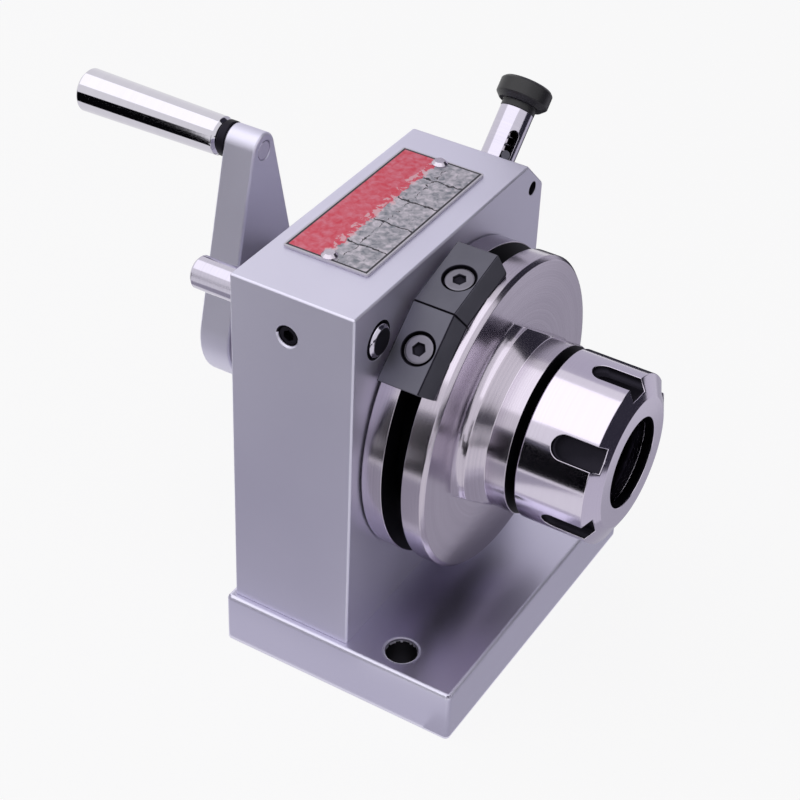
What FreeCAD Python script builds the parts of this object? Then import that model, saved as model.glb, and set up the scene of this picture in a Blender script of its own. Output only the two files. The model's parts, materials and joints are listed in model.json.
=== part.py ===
import FreeCAD, Part
import math
import os

import Sketcher
from FreeCAD import Vector

# A punch former: a workholding spindle in an upright block. The work is clamped in the collet nut,
# the crank turns it, the plunger indexes it, and two dogs in the drum's T-slot meet the stop rod.
#
# All sizes are in millimetres. +X is to the right, +Z is up, and the collet nut points to -Y.
# The origin is the centre of the underside of the base plate.
# Stations along the spindle are counted from the block's front face, and forward is positive.

doc = FreeCAD.newDocument("punch_former")

DRIVING_SIZES = {
    # Base plate
    "base_width": 106.4,
    "base_depth": 76.0,
    "base_thickness": 17.0,
    "base_ledge": 35.6,
    "base_corner": 1.5,
    "base_edge": 0.8,
    "clamp_hole_radius": 4.5,
    "clamp_hole_spacing": 89.0,
    "clamp_hole_forward": 14.5,
    "clamp_hole_chamfer": 0.65,
    "base_screw_spacing": 32.0,
    "base_screw_recess": 9.0,
    "dowel_spacing": 88.0,
    "dowel_radius": 3.0,
    "dowel_length": 27.0,
    # Upright block
    "block_width": 102.0,
    "block_height": 112.5,
    "block_depth": 38.5,
    "block_corner_cut": 10.0,
    "block_edge": 0.5,
    "axis_height": 76.0,
    "recess_radius": 38.0,
    "recess_depth": 21.5,
    "bush_radius": 24.0,
    # Nameplate
    "plate_length": 61.7,
    "plate_width": 26.4,
    "plate_thickness": 0.8,
    "plate_left": 1.8,
    "plate_back": 21.0,
    "rivet_spacing": 57.0,
    "rivet_radius": 1.5,
    "rivet_head_radius": 2.3,
    # Spindle, as stations from the block's front face
    "nose_radius": 20.0,
    "nose_front": 48.3,
    "hub_front": 32.9,
    "hub_radius": 25.2,
    "cone_front": 26.6,
    "cone_rear": 22.7,
    "cone_radius": 29.5,
    "drum_front": 19.9,
    "drum_radius": 46.5,
    "drum_edge": 1.1,
    "slot_front": 13.0,
    "slot_rear": 6.8,
    "slot_lip_radius": 39.5,
    "undercut_front": 15.2,
    "undercut_rear": 4.6,
    "undercut_radius": 34.0,
    "drum_rear": 0.6,
    "slot_entry_radius": 5.5,
    "slot_entry_angle": 300.0,
    "shoulder_radius": 30.0,
    "ring_front": -9.5,
    "ring_thickness": 9.0,
    "seat_radius": 21.0,
    "seat_rear": -19.3,
    "journal_radius": 19.0,
    "journal_rear": -40.7,
    "thread_radius": 17.5,
    "thread_rear": -55.0,
    "tail_radius": 12.5,
    "tail_rear": -75.6,
    "taper_mouth_radius": 16.4,
    "taper_angle": 8.0,
    "taper_depth": 34.0,
    "bore_radius": 7.0,
    "flat_angle": 54.0,
    "flat_distance": 25.0,
    # Index ring and plunger
    "ring_radius": 37.0,
    "index_hole_radius": 3.05,
    "index_hole_depth": 6.0,
    "index_hole_count": 24.0,
    "ring_screw_circle": 25.5,
    "plunger_back": 14.0,
    "plunger_tilt": 45.0,
    "sleeve_radius": 5.15,
    "sleeve_inner_end": 40.0,
    "sleeve_outer_end": 83.0,
    "sleeve_slot_width": 3.3,
    "sleeve_slot_end": 76.6,
    "sleeve_slot_angle": 227.0,
    "plunger_radius": 3.0,
    "plunger_tip": 31.6,
    "plunger_travel": 6.0,
    "knob_radius": 8.0,
    "knob_top": 91.5,
    # Bearing, nuts and crank
    "bush_flange_radius": 28.0,
    "bush_flange": 2.0,
    "washer_radius": 26.0,
    "ring_nut_radius": 23.0,
    "ring_nut_thickness": 6.5,
    "spacer_radius": 16.0,
    "arm_front": -62.4,
    "arm_thickness": 10.6,
    "arm_big_radius": 19.0,
    "arm_small_radius": 5.25,
    "arm_edge": 0.6,
    "crank_throw": 57.5,
    "key_width": 4.0,
    "clip_groove_radius": 11.7,
    "handle_inner_radius": 5.75,
    "handle_outer_radius": 6.5,
    "handle_front": -75.8,
    "handle_rear": -124.8,
    "handle_bore_radius": 3.55,
    # Collet nut
    "nut_rear": 35.3,
    "nut_radius": 25.0,
    "nut_cone_rear": 56.1,
    "nut_front": 58.9,
    "nut_face_radius": 19.15,
    "nut_mouth_radius": 13.4,
    "nut_slot_width": 7.0,
    "nut_slot_rear": 43.5,
    "nut_slot_floor": 21.25,
    "nut_slot_angle": 26.5,
    "nut_slot_count": 6.0,
    # Stop dogs
    "dog_a_angle": 105.3,
    "dog_b_angle": 131.3,
    "dog_half_angle": 13.0,
    "dog_top": 51.0,
    "dog_rear": 1.8,
    "dog_flat_front": 14.2,
    "dog_front": 17.0,
    "dog_screw_station": 8.9,
    "dog_screw_seat": 47.6,
    "dog_counterbore_radius": 4.65,
    # Stop rod
    "rod_radius": 4.75,
    "rod_distance": 56.0,
    "rod_angle": 133.8,
    "rod_front": 1.0,
    "rod_rear": -57.5,
    "rod_end_chamfer": 0.8,
    # Fits: running clearance on a radius, and the gap between faces that pass each other
    "running_fit": 0.04,
    "face_gap": 0.02,
}

sheet = doc.addObject("Spreadsheet::Sheet", "sizes")
for row, (alias, number) in enumerate(DRIVING_SIZES.items(), start=1):
    sheet.set(f"A{row}", alias)
    sheet.set(f"B{row}", str(number))
    sheet.setAlias(f"B{row}", alias)
doc.recompute()


# Sizes: a number together with the expression that ties it to the sheet

class Size:
    """A length or an angle: its value now, and the expression that gives it from the sheet."""

    def __init__(self, value, text=None):
        self.value = float(value)
        self.text = text or f"({self.value!r})"

    def __add__(self, other):
        return joined(self, "+", other)

    def __radd__(self, other):
        return joined(other, "+", self)

    def __sub__(self, other):
        return joined(self, "-", other)

    def __rsub__(self, other):
        return joined(other, "-", self)

    def __mul__(self, other):
        return joined(self, "*", other)

    def __rmul__(self, other):
        return joined(other, "*", self)

    def __truediv__(self, other):
        return joined(self, "/", other)

    def __neg__(self):
        return joined(0, "-", self)


def as_size(number):
    return number if isinstance(number, Size) else Size(number)


def joined(left, sign, right):
    """Two sizes added, subtracted, multiplied or divided, as a value and as an expression."""
    left = as_size(left)
    right = as_size(right)
    results = {
        "+": left.value + right.value,
        "-": left.value - right.value,
        "*": left.value * right.value,
        "/": left.value / right.value if right.value else 0.0,
    }
    return Size(results[sign], f"({left.text} {sign} {right.text})")


def cosine(angle):
    return Size(math.cos(math.radians(angle.value)), f"cos({angle.text} * 1 deg)")


def sine(angle):
    return Size(math.sin(math.radians(angle.value)), f"sin({angle.text} * 1 deg)")


def tangent(angle):
    return sine(angle) / cosine(angle)


class Sheet:
    """Gives each driving size by its name."""

    def __getattr__(self, alias):
        return Size(getattr(sheet, alias), f"sizes.{alias}")


size = Sheet()


# Places: a point and a turn, written as expressions

X_AXIS = "1; 0; 0"
Y_AXIS = "0; 1; 0"
Z_AXIS = "0; 0; 1"


def place(x=0, y=0, z=0, axis=Z_AXIS, angle=0):
    """The expression of a placement at x, y, z, turned by an angle about an axis."""
    x, y, z, angle = (as_size(number).text for number in (x, y, z, angle))
    return f"placement(vector({x}; {y}; {z}); rotation(vector({axis}); {angle}))"


def inside(*places):
    """Each place is counted within the one before it."""
    return " * ".join(places)


def down(x=0, y=0, z=0):
    return place(x, y, z, X_AXIS, 180)


def backward(x=0, y=0, z=0):
    return place(x, y, z, X_AXIS, -90)


def rightward(x=0, y=0, z=0):
    return place(x, y, z, Y_AXIS, 90)


def turned_by(angle):
    return place(axis=Z_AXIS, angle=angle)


face_y = size.base_ledge - size.base_depth / 2
axis_above_base = size.axis_height - size.base_thickness
rod_x = size.rod_distance * cosine(size.rod_angle)
rod_above_axis = size.rod_distance * sine(size.rod_angle)
ring_middle = size.ring_front - size.ring_thickness / 2

WORLD = place()
BLOCK = place(0, face_y, size.base_thickness)
SPINDLE = place(0, face_y, size.axis_height, X_AXIS, 90)
CRANK_PIN = inside(SPINDLE, place(0, size.crank_throw, 0))
PLUNGER = place(0, face_y + size.plunger_back, size.axis_height, Y_AXIS, size.plunger_tilt)
ROD = backward(rod_x, face_y, size.axis_height + rod_above_axis)


# Solids: outlines turned or raised, and what is cut from them

def plane_of(body, role):
    return next(item for item in body.Origin.OriginFeatures if item.Role == role)


def bind(feature, name, length):
    """Sets a property of a feature and ties it to its expression."""
    length = as_size(length)
    setattr(feature, name, length.value)
    feature.setExpression(name, length.text)


def new_body(label, where):
    body = doc.addObject("PartDesign::Body", label)
    body.Label = label
    body.setExpression("Placement", where)
    return body


def new_sketch(body, role):
    sketch = body.newObject("Sketcher::SketchObject", f"{body.Name}_outline")
    sketch.AttachmentSupport = (plane_of(body, role), [""])
    sketch.MapMode = "FlatFace"
    return sketch


def arc_between(start, end, radius):
    """A short arc: a positive radius bends to the left of the way from start to end."""
    chord = end - start
    reach = math.sqrt(max(radius * radius - chord.Length ** 2 / 4, 0.0))
    left = Vector(-chord.y, chord.x, 0).normalize()
    centre = (start + end) / 2 + left * math.copysign(reach, radius)
    first, last = (start, end) if radius > 0 else (end, start)
    angles = [math.atan2(point.y - centre.y, point.x - centre.x) for point in (first, last)]
    return Part.ArcOfCircle(Part.Circle(centre, Vector(0, 0, 1), abs(radius)), *angles)


def draw_outline(sketch, corners):
    """Draws a closed outline. A third number at a corner is the radius of the arc that starts there."""
    points = [Vector(as_size(corner[0]).value, as_size(corner[1]).value, 0) for corner in corners]
    count = len(corners)
    ends = []
    for index, corner in enumerate(corners):
        start = points[index]
        end = points[(index + 1) % count]
        radius = as_size(corner[2]).value if len(corner) > 2 else 0.0
        if radius:
            sketch.addGeometry(arc_between(start, end, radius), False)
        else:
            sketch.addGeometry(Part.LineSegment(start, end), False)
        ends.append((2, 1) if radius < 0 else (1, 2))
    rules = []
    bound = []
    for index, corner in enumerate(corners):
        start, end = ends[index]
        following = (index + 1) % count
        rules.append(Sketcher.Constraint("Coincident", index, end, following, ends[following][0]))
        for direction, length in zip(("DistanceX", "DistanceY"), corner[:2]):
            length = as_size(length)
            bound.append((len(rules), length))
            rules.append(Sketcher.Constraint(direction, -1, 1, index, start, length.value))
        if len(corner) > 2:
            radius = as_size(corner[2])
            radius = radius if radius.value > 0 else -radius
            bound.append((len(rules), radius))
            rules.append(Sketcher.Constraint("Radius", index, radius.value))
    sketch.addConstraint(rules)
    for index, length in bound:
        sketch.setExpression(f"Constraints[{index}]", length.text)


def turned(label, corners, where, sweep=360):
    """A body turned about its own Z axis from an outline of (radius, height) corners."""
    body = new_body(label, where)
    sketch = new_sketch(body, "XZ_Plane")
    draw_outline(sketch, corners)
    solid = body.newObject("PartDesign::Revolution", f"{label}_turned")
    solid.Profile = sketch
    solid.ReferenceAxis = (sketch, ["V_Axis"])
    bind(solid, "Angle", sweep)
    solid.Midplane = as_size(sweep).value < 360
    return body


def raised(label, corners, height, where):
    """A body raised along its own Z axis from an outline of (x, y) corners."""
    body = new_body(label, where)
    sketch = new_sketch(body, "XY_Plane")
    draw_outline(sketch, corners)
    raise_outline(body, sketch, height)
    return body


def raise_outline(body, sketch, height):
    solid = body.newObject("PartDesign::Pad", f"{body.Name}_raised")
    solid.Profile = sketch
    bind(solid, "Length", height)
    return solid


def rectangle(left, right, low, high):
    return [(left, low), (right, low), (right, high), (left, high)]


def cut(body, kind, where, **lengths):
    """Takes a cylinder, cone, box or prism from a body."""
    tool = body.newObject(f"PartDesign::Subtractive{kind}", f"{body.Name}_cut")
    for name, length in lengths.items():
        bind(tool, name, length)
    tool.setExpression("Placement", where)
    return tool


def drill(body, where, radius, depth):
    return cut(body, "Cylinder", where, Radius=radius, Height=depth)


def countersink(body, where, radius, chamfer):
    """Opens the mouth of a hole. The place is at the mouth and points into the hole."""
    return cut(body, "Cone", where, Radius1=radius + chamfer, Radius2=radius, Height=chamfer)


def mill(body, where, length, width, height):
    return cut(body, "Box", where, Length=length, Width=width, Height=height)


def sink_hexagon(body, where, flats, depth):
    """Sinks a hexagon socket. The place is at the mouth and points into the socket."""
    tool = cut(body, "Prism", where, Circumradius=as_size(flats) / math.sqrt(3), Height=depth)
    tool.Polygon = 6
    return tool


def round_the_axis(body, feature, count):
    """Repeats one cut evenly round the body's own Z axis."""
    pattern = body.newObject("PartDesign::PolarPattern", f"{body.Name}_round")
    pattern.Originals = [feature]
    pattern.Axis = (plane_of(body, "Z_Axis"), [""])
    pattern.Angle = 360
    pattern.Occurrences = int(as_size(count).value)
    body.Tip = pattern
    return pattern


def dress_edges(body, kind, wanted, length):
    """Chamfers or fillets the edges of a body that pass a test on their middle point and ends."""
    doc.recompute()
    base = body.Tip
    names = []
    for number, edge in enumerate(base.Shape.Edges, start=1):
        middle = edge.valueAt((edge.FirstParameter + edge.LastParameter) / 2)
        if wanted(middle, [vertex.Point for vertex in edge.Vertexes]):
            names.append(f"Edge{number}")
    feature = body.newObject(f"PartDesign::{kind}", f"{body.Name}_edges")
    feature.Base = (base, names)
    bind(feature, "Size" if kind == "Chamfer" else "Radius", length)
    return feature


def near(first, second):
    return abs(first - second) < 1e-4


sub_parts = []


def keep(body):
    sub_parts.append(body)
    return body


def group(label, bodies):
    """Alike fasteners as separate solids of one sub-part."""
    together = doc.addObject("Part::Compound", label)
    together.Label = label
    together.Links = bodies
    return keep(together)


# Cuts from inside a turned piece run out past its rim by at least this length
BEYOND_RIM = 20.0


# Screws, all with hexagon sockets. Each is turned about its own Z axis, and its head points to +Z.

SCREW_EDGE = 0.3
THREAD_CLEARANCE = 0.02


def cap_screw(label, where, thread, length, head_radius, head_height, flats):
    """A cap screw whose place is at the seat of its head."""
    shank = thread - THREAD_CLEARANCE
    corners = [
        (0, -length),
        (shank - SCREW_EDGE, -length),
        (shank, SCREW_EDGE - length),
        (shank, 0),
        (head_radius, 0),
        (head_radius, head_height - SCREW_EDGE),
        (head_radius - SCREW_EDGE, head_height),
        (0, head_height),
    ]
    body = turned(label, corners, where)
    sink_hexagon(body, down(z=head_height), flats, head_height / 2)
    return body


def set_screw(label, where, thread, length, flats):
    """A headless screw whose place is at its inner end."""
    shank = thread - THREAD_CLEARANCE
    corners = [
        (0, 0),
        (shank - SCREW_EDGE, 0),
        (shank, SCREW_EDGE),
        (shank, length - SCREW_EDGE),
        (shank - SCREW_EDGE, length),
        (0, length),
    ]
    body = turned(label, corners, where)
    sink_hexagon(body, down(z=length), flats, length / 2)
    return body


# Base plate, with clamping holes in the front ledge and recesses for the block's screws below

BASE_SCREW_THREAD = 4.0
BASE_SCREW_HEAD = 6.5
BASE_SCREW_HEAD_HEIGHT = 8.0
BASE_SCREW_FLATS = 6.0
BASE_SCREW_RECESS_RADIUS = 7.0
BASE_SCREW_CLEARANCE = 4.3
BASE_SCREW_LENGTH = 22.0
DOWEL_START = 2.0

block_middle_y = face_y + size.block_depth / 2
base_screw_places = [-size.base_screw_spacing, as_size(0), size.base_screw_spacing]
dowel_places = [-size.dowel_spacing / 2, size.dowel_spacing / 2]


def make_base_plate():
    half_width = size.base_width / 2
    half_depth = size.base_depth / 2
    corners = rectangle(-half_width, half_width, -half_depth, half_depth)
    body = raised("base_plate", corners, size.base_thickness, WORLD)
    dress_edges(body, "Fillet", lambda middle, ends: not near(ends[0].z, ends[-1].z), size.base_corner)
    top = size.base_thickness.value
    dress_edges(body, "Chamfer", lambda middle, ends: near(middle.z, top), size.base_edge)
    for side in (-1, 1):
        x = size.clamp_hole_spacing / 2 * side
        y = face_y - size.clamp_hole_forward
        drill(body, place(x, y, 0), size.clamp_hole_radius, size.base_thickness)
        countersink(body, down(x, y, size.base_thickness), size.clamp_hole_radius, size.clamp_hole_chamfer)
    for x in base_screw_places:
        drill(body, place(x, block_middle_y, 0), BASE_SCREW_RECESS_RADIUS, size.base_screw_recess)
        drill(body, place(x, block_middle_y, 0), BASE_SCREW_CLEARANCE, size.base_thickness)
    for x in dowel_places:
        drill(body, place(x, block_middle_y, 0), size.dowel_radius, size.base_thickness)
    return keep(body)


def make_base_screws():
    screws = []
    for number, x in enumerate(base_screw_places, start=1):
        seat = down(x, block_middle_y, size.base_screw_recess)
        screws.append(cap_screw(
            f"base_screw_{number}", seat, BASE_SCREW_THREAD, BASE_SCREW_LENGTH,
            BASE_SCREW_HEAD, BASE_SCREW_HEAD_HEIGHT, BASE_SCREW_FLATS))
    group("base_screws", screws)


def make_dowel_pins():
    pins = []
    radius = size.dowel_radius - size.face_gap
    for number, x in enumerate(dowel_places, start=1):
        corners = [
            (0, 0), (radius - SCREW_EDGE, 0), (radius, SCREW_EDGE),
            (radius, size.dowel_length - SCREW_EDGE), (radius - SCREW_EDGE, size.dowel_length),
            (0, size.dowel_length),
        ]
        pins.append(turned(f"dowel_pin_{number}", corners, place(x, block_middle_y, DOWEL_START)))
    group("dowel_pins", pins)


# Upright block. Its own frame is at the middle of its front lower edge, with the depth along +Y.

SLEEVE_SCREW_THREAD = 2.0
SLEEVE_SCREW_LENGTH = 6.0
SLEEVE_SCREW_FLATS = 2.0
SLEEVE_SCREW_MOUTH = 0.25
SLEEVE_SCREW_DISTANCE = 63.0
BRAKE_SCREW_THREAD = 3.0
BRAKE_BACK = 20.5
BRAKE_MOUTH = 0.6
SLEEVE_HOLE_START = 30.0
BLOCK_TAPPED_DEPTH = 16.0
DOWEL_HOLE_DEPTH = 13.0
ROD_MOUTH_CHAMFER = 1.0
RIVET_HOLE_DEPTH = 5.0

rod_above_base = axis_above_base + rod_above_axis
sleeve_screw_x = SLEEVE_SCREW_DISTANCE * sine(size.plunger_tilt)
sleeve_screw_above_axis = SLEEVE_SCREW_DISTANCE * cosine(size.plunger_tilt)
rivet_places = [-size.rivet_spacing / 2, size.rivet_spacing / 2]


def make_upright_block():
    half = size.block_width / 2
    corners = [
        (-half, 0),
        (half, 0),
        (half, size.block_height - size.block_corner_cut),
        (half - size.block_corner_cut, size.block_height),
        (-half, size.block_height),
    ]
    body = new_body("upright_block", BLOCK)
    sketch = new_sketch(body, "XZ_Plane")
    draw_outline(sketch, corners)
    raise_outline(body, sketch, size.block_depth).Reversed = True
    dress_edges(body, "Chamfer", lambda middle, ends: middle.z > 1e-4, size.block_edge)

    drill(body, backward(0, 0, axis_above_base), size.recess_radius, size.recess_depth)
    drill(body, backward(0, 0, axis_above_base), size.bush_radius, size.block_depth)
    rod_bore = size.rod_radius + size.running_fit
    drill(body, backward(rod_x, 0, rod_above_base), rod_bore, size.block_depth)
    countersink(body, backward(rod_x, 0, rod_above_base), rod_bore, ROD_MOUTH_CHAMFER)

    brake_depth = half + rod_x
    drill(body, rightward(-half, BRAKE_BACK, rod_above_base), BRAKE_SCREW_THREAD, brake_depth)
    countersink(body, rightward(-half, BRAKE_BACK, rod_above_base), BRAKE_SCREW_THREAD, BRAKE_MOUTH)

    axis = place(0, size.plunger_back, axis_above_base, Y_AXIS, size.plunger_tilt)
    drill(body, inside(axis, place(z=SLEEVE_HOLE_START)), size.sleeve_radius, size.sleeve_outer_end)
    screw = backward(sleeve_screw_x, 0, axis_above_base + sleeve_screw_above_axis)
    drill(body, screw, SLEEVE_SCREW_THREAD, size.plunger_back)
    countersink(body, screw, SLEEVE_SCREW_THREAD, SLEEVE_SCREW_MOUTH)

    middle_y = size.block_depth / 2
    for x in base_screw_places:
        drill(body, place(x, middle_y, 0), BASE_SCREW_THREAD, BLOCK_TAPPED_DEPTH)
    for x in dowel_places:
        drill(body, place(x, middle_y, 0), size.dowel_radius, DOWEL_HOLE_DEPTH)
    for x in rivet_places:
        mouth = down(x - size.plate_left, size.plate_back, size.block_height)
        drill(body, mouth, size.rivet_radius, RIVET_HOLE_DEPTH)
    return keep(body)


# Nameplate and its rivets, on top of the block

PLATE_CORNER = 0.8
RIVET_HEAD_HEIGHT = 1.1
RIVET_HEAD_RIM = 0.3
RIVET_HEAD_TOP = 1.5
RIVET_SHANK = 4.0


def make_nameplate():
    where = inside(BLOCK, place(-size.plate_left, size.plate_back, size.block_height))
    half_length = size.plate_length / 2
    half_width = size.plate_width / 2
    corners = rectangle(-half_length, half_length, -half_width, half_width)
    body = raised("nameplate", corners, size.plate_thickness, where)
    dress_edges(body, "Fillet", lambda middle, ends: not near(ends[0].z, ends[-1].z), PLATE_CORNER)
    for x in rivet_places:
        drill(body, place(x, 0, 0), size.rivet_radius, size.plate_thickness)
    keep(body)


def make_nameplate_rivets():
    rivets = []
    shank = size.rivet_radius - size.face_gap
    head = size.rivet_head_radius
    corners = [
        (0, -RIVET_SHANK),
        (shank, -RIVET_SHANK),
        (shank, 0),
        (head, 0),
        (head, RIVET_HEAD_RIM),
        (RIVET_HEAD_TOP, RIVET_HEAD_HEIGHT),
        (0, RIVET_HEAD_HEIGHT),
    ]
    top = size.block_height + size.plate_thickness
    for number, x in enumerate(rivet_places, start=1):
        where = inside(BLOCK, place(x - size.plate_left, size.plate_back, top))
        rivets.append(turned(f"nameplate_rivet_{number}", corners, where))
    group("nameplate_rivets", rivets)


# Spindle: nose with the collet taper, hub, collar with spanner flats, T-slotted drum, journal and tail,
# all in one piece

NOSE_CHAMFER = 1.0
TAIL_CHAMFER = 0.6
CLIP_GROOVE_FRONT = -73.1
CLIP_GROOVE_REAR = -74.5
KEYWAY_DEPTH = 2.0
FLAT_WIDTH = 60.0
FLAT_CUT = 10.0
RING_SCREW_THREAD = 2.0
RING_SCREW_DEPTH = 8.0
RING_SCREW_COUNT = 4


def make_spindle():
    taper_end = size.nose_front - size.taper_depth
    taper_end_radius = size.taper_mouth_radius - size.taper_depth * tangent(size.taper_angle)
    fillet = size.cone_rear - size.drum_front
    corners = [
        (size.bore_radius, size.tail_rear),
        (size.tail_radius - TAIL_CHAMFER, size.tail_rear),
        (size.tail_radius, size.tail_rear + TAIL_CHAMFER),
        (size.tail_radius, CLIP_GROOVE_REAR),
        (size.clip_groove_radius, CLIP_GROOVE_REAR),
        (size.clip_groove_radius, CLIP_GROOVE_FRONT),
        (size.tail_radius, CLIP_GROOVE_FRONT),
        (size.tail_radius, size.thread_rear),
        (size.thread_radius, size.thread_rear),
        (size.thread_radius, size.journal_rear),
        (size.journal_radius, size.journal_rear),
        (size.journal_radius, size.seat_rear),
        (size.seat_radius, size.seat_rear),
        (size.seat_radius, size.ring_front),
        (size.shoulder_radius, size.ring_front),
        (size.shoulder_radius, size.drum_rear),
        (size.drum_radius, size.drum_rear),
        # T-slot
        (size.drum_radius, size.slot_rear),
        (size.slot_lip_radius, size.slot_rear),
        (size.slot_lip_radius, size.undercut_rear),
        (size.undercut_radius, size.undercut_rear),
        (size.undercut_radius, size.undercut_front),
        (size.slot_lip_radius, size.undercut_front),
        (size.slot_lip_radius, size.slot_front),
        (size.drum_radius, size.slot_front),
        # Front face of the drum, and the round groove at the foot of the collar
        (size.drum_radius, size.drum_front - size.drum_edge),
        (size.drum_radius - size.drum_edge, size.drum_front),
        (size.cone_radius + fillet, size.drum_front, -fillet),
        (size.cone_radius, size.cone_rear),
        (size.hub_radius, size.cone_front),
        (size.hub_radius, size.hub_front),
        # Threaded nose and the taper for the collet
        (size.nose_radius, size.hub_front),
        (size.nose_radius, size.nose_front - NOSE_CHAMFER),
        (size.nose_radius - NOSE_CHAMFER, size.nose_front),
        (size.taper_mouth_radius, size.nose_front),
        (taper_end_radius, taper_end),
        (size.bore_radius, taper_end),
    ]
    body = turned("spindle", corners, SPINDLE)
    for side in (0, 180):
        flat = inside(
            turned_by(size.flat_angle + side),
            place(size.flat_distance, -FLAT_WIDTH / 2, size.drum_front))
        mill(body, flat, FLAT_CUT, FLAT_WIDTH, size.hub_front - size.drum_front)
    # T-nuts enter the slot through one round opening
    slot_middle = (size.slot_front + size.slot_rear) / 2
    entry = inside(turned_by(size.slot_entry_angle), rightward(size.undercut_radius, 0, slot_middle))
    drill(body, entry, size.slot_entry_radius, size.drum_radius)
    keyway = place(-size.key_width / 2, -size.tail_radius - 1, size.tail_rear)
    mill(body, keyway, size.key_width, KEYWAY_DEPTH + 1, size.arm_front - size.tail_rear)
    hole = drill(body, place(size.ring_screw_circle, 0, size.ring_front), RING_SCREW_THREAD, RING_SCREW_DEPTH)
    round_the_axis(body, hole, RING_SCREW_COUNT)
    return keep(body)


# Index ring: radial holes for the plunger, and counterbored screw holes from behind

RING_SCREW_HEAD = 3.5
RING_SCREW_HEAD_HEIGHT = 4.0
RING_SCREW_LENGTH = 10.0
RING_SCREW_FLATS = 3.0
RING_SCREW_CLEARANCE = 2.2
RING_SCREW_COUNTERBORE = 3.7
RING_SCREW_COUNTERBORE_DEPTH = 4.2
RING_EDGE = 0.6

ring_rear = size.ring_front - size.ring_thickness


def make_index_ring():
    bore = size.seat_radius + size.face_gap
    corners = [
        (bore, ring_rear),
        (size.ring_radius - RING_EDGE, ring_rear),
        (size.ring_radius, ring_rear + RING_EDGE),
        (size.ring_radius, size.ring_front - RING_EDGE),
        (size.ring_radius - RING_EDGE, size.ring_front),
        (bore, size.ring_front),
    ]
    body = turned("index_ring", corners, SPINDLE)
    hole_bottom = size.ring_radius - size.index_hole_depth
    toward_plunger = turned_by(90 - size.plunger_tilt)
    hole = drill(
        body, inside(toward_plunger, rightward(hole_bottom, 0, ring_middle)),
        size.index_hole_radius, size.index_hole_depth + 1)
    round_the_axis(body, hole, size.index_hole_count)
    screw_place = place(size.ring_screw_circle, 0, ring_rear)
    clearance = drill(body, screw_place, RING_SCREW_CLEARANCE, size.ring_thickness)
    round_the_axis(body, clearance, RING_SCREW_COUNT)
    counterbore = drill(body, screw_place, RING_SCREW_COUNTERBORE, RING_SCREW_COUNTERBORE_DEPTH)
    round_the_axis(body, counterbore, RING_SCREW_COUNT)
    return keep(body)


def make_index_ring_screws():
    screws = []
    seat = down(size.ring_screw_circle, 0, ring_rear + RING_SCREW_COUNTERBORE_DEPTH)
    for number in range(RING_SCREW_COUNT):
        where = inside(SPINDLE, turned_by(360 / RING_SCREW_COUNT * number), seat)
        screws.append(cap_screw(
            f"index_ring_screw_{number + 1}", where, RING_SCREW_THREAD, RING_SCREW_LENGTH,
            RING_SCREW_HEAD, RING_SCREW_HEAD_HEIGHT, RING_SCREW_FLATS))
    group("index_ring_screws", screws)


# Bearing bush, thrust washer and the two ring nuts that take up the end play

WASHER_THICKNESS = 2.0
RING_NUT_EDGE = 0.8
RING_NUT_SLOT_WIDTH = 5.0
RING_NUT_SLOT_DEPTH = 2.2
RING_NUT_SLOT_COUNT = 4
WASHER_EDGE = 0.3
NUT_GAP = 0.2

journal_bore = size.journal_radius + size.running_fit


def make_spindle_bush():
    flange_rear = -size.recess_depth
    flange_front = flange_rear + size.bush_flange
    body_radius = size.bush_radius - size.face_gap
    corners = [
        (journal_bore, -size.block_depth),
        (body_radius, -size.block_depth),
        (body_radius, flange_rear),
        (size.bush_flange_radius, flange_rear),
        (size.bush_flange_radius, flange_front),
        (journal_bore, flange_front),
    ]
    return keep(turned("spindle_bush", corners, SPINDLE))


def ring_outline(bore, radius, front, thickness, edge):
    """The section of a plain ring with both outer edges chamfered."""
    rear = front - thickness
    return [
        (bore, rear),
        (radius - edge, rear),
        (radius, rear + edge),
        (radius, front - edge),
        (radius - edge, front),
        (bore, front),
    ]


def make_thrust_washer():
    front = size.journal_rear + WASHER_THICKNESS
    corners = ring_outline(journal_bore, size.washer_radius, front, WASHER_THICKNESS, WASHER_EDGE)
    keep(turned("thrust_washer", corners, SPINDLE))


def make_ring_nut(label, front):
    bore = size.thread_radius + THREAD_CLEARANCE
    corners = ring_outline(bore, size.ring_nut_radius, front, size.ring_nut_thickness, RING_NUT_EDGE)
    body = turned(label, corners, SPINDLE)
    slot = mill(
        body,
        place(size.ring_nut_radius - RING_NUT_SLOT_DEPTH, -RING_NUT_SLOT_WIDTH / 2,
              front - size.ring_nut_thickness),
        RING_NUT_SLOT_DEPTH + 1, RING_NUT_SLOT_WIDTH, size.ring_nut_thickness)
    round_the_axis(body, slot, RING_NUT_SLOT_COUNT)
    return keep(body)


def make_ring_nuts():
    make_ring_nut("lock_nut", size.journal_rear)
    make_ring_nut("jam_nut", size.journal_rear - size.ring_nut_thickness - NUT_GAP)


# Crank: spacer, arm, key, set screw and circlip on the tail, and the handle on its pin

ARM_KEYWAY_DEPTH = 2.2
KEY_SIDE_GAP = 0.02
ARM_SCREW_THREAD = 2.5
ARM_SCREW_LENGTH = 4.0
ARM_SCREW_FLATS = 2.5
KEY_END_GAP = 0.2
SPACER_EDGE = 0.4
CLIP_THICKNESS = 1.2
CLIP_WIDTH = 3.6
CLIP_OPENING = 6.0
PIN_THREAD = 3.0
PIN_SHOULDER = 3.5
PIN_HEAD = 5.0
PIN_HEAD_HEIGHT = 4.2
PIN_SOCKET_FLATS = 5.0
PIN_SOCKET_DEPTH = 2.6
PIN_SET_BACK = 0.2
HANDLE_WASHER_RADIUS = 5.4
HANDLE_WASHER_GAP = 0.3
HANDLE_COUNTERBORE = 5.3
HANDLE_COUNTERBORE_DEPTH = 6.4
HANDLE_EDGE = 1.0

arm_rear = size.arm_front - size.arm_thickness
tail_bore = size.tail_radius + THREAD_CLEARANCE


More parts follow.
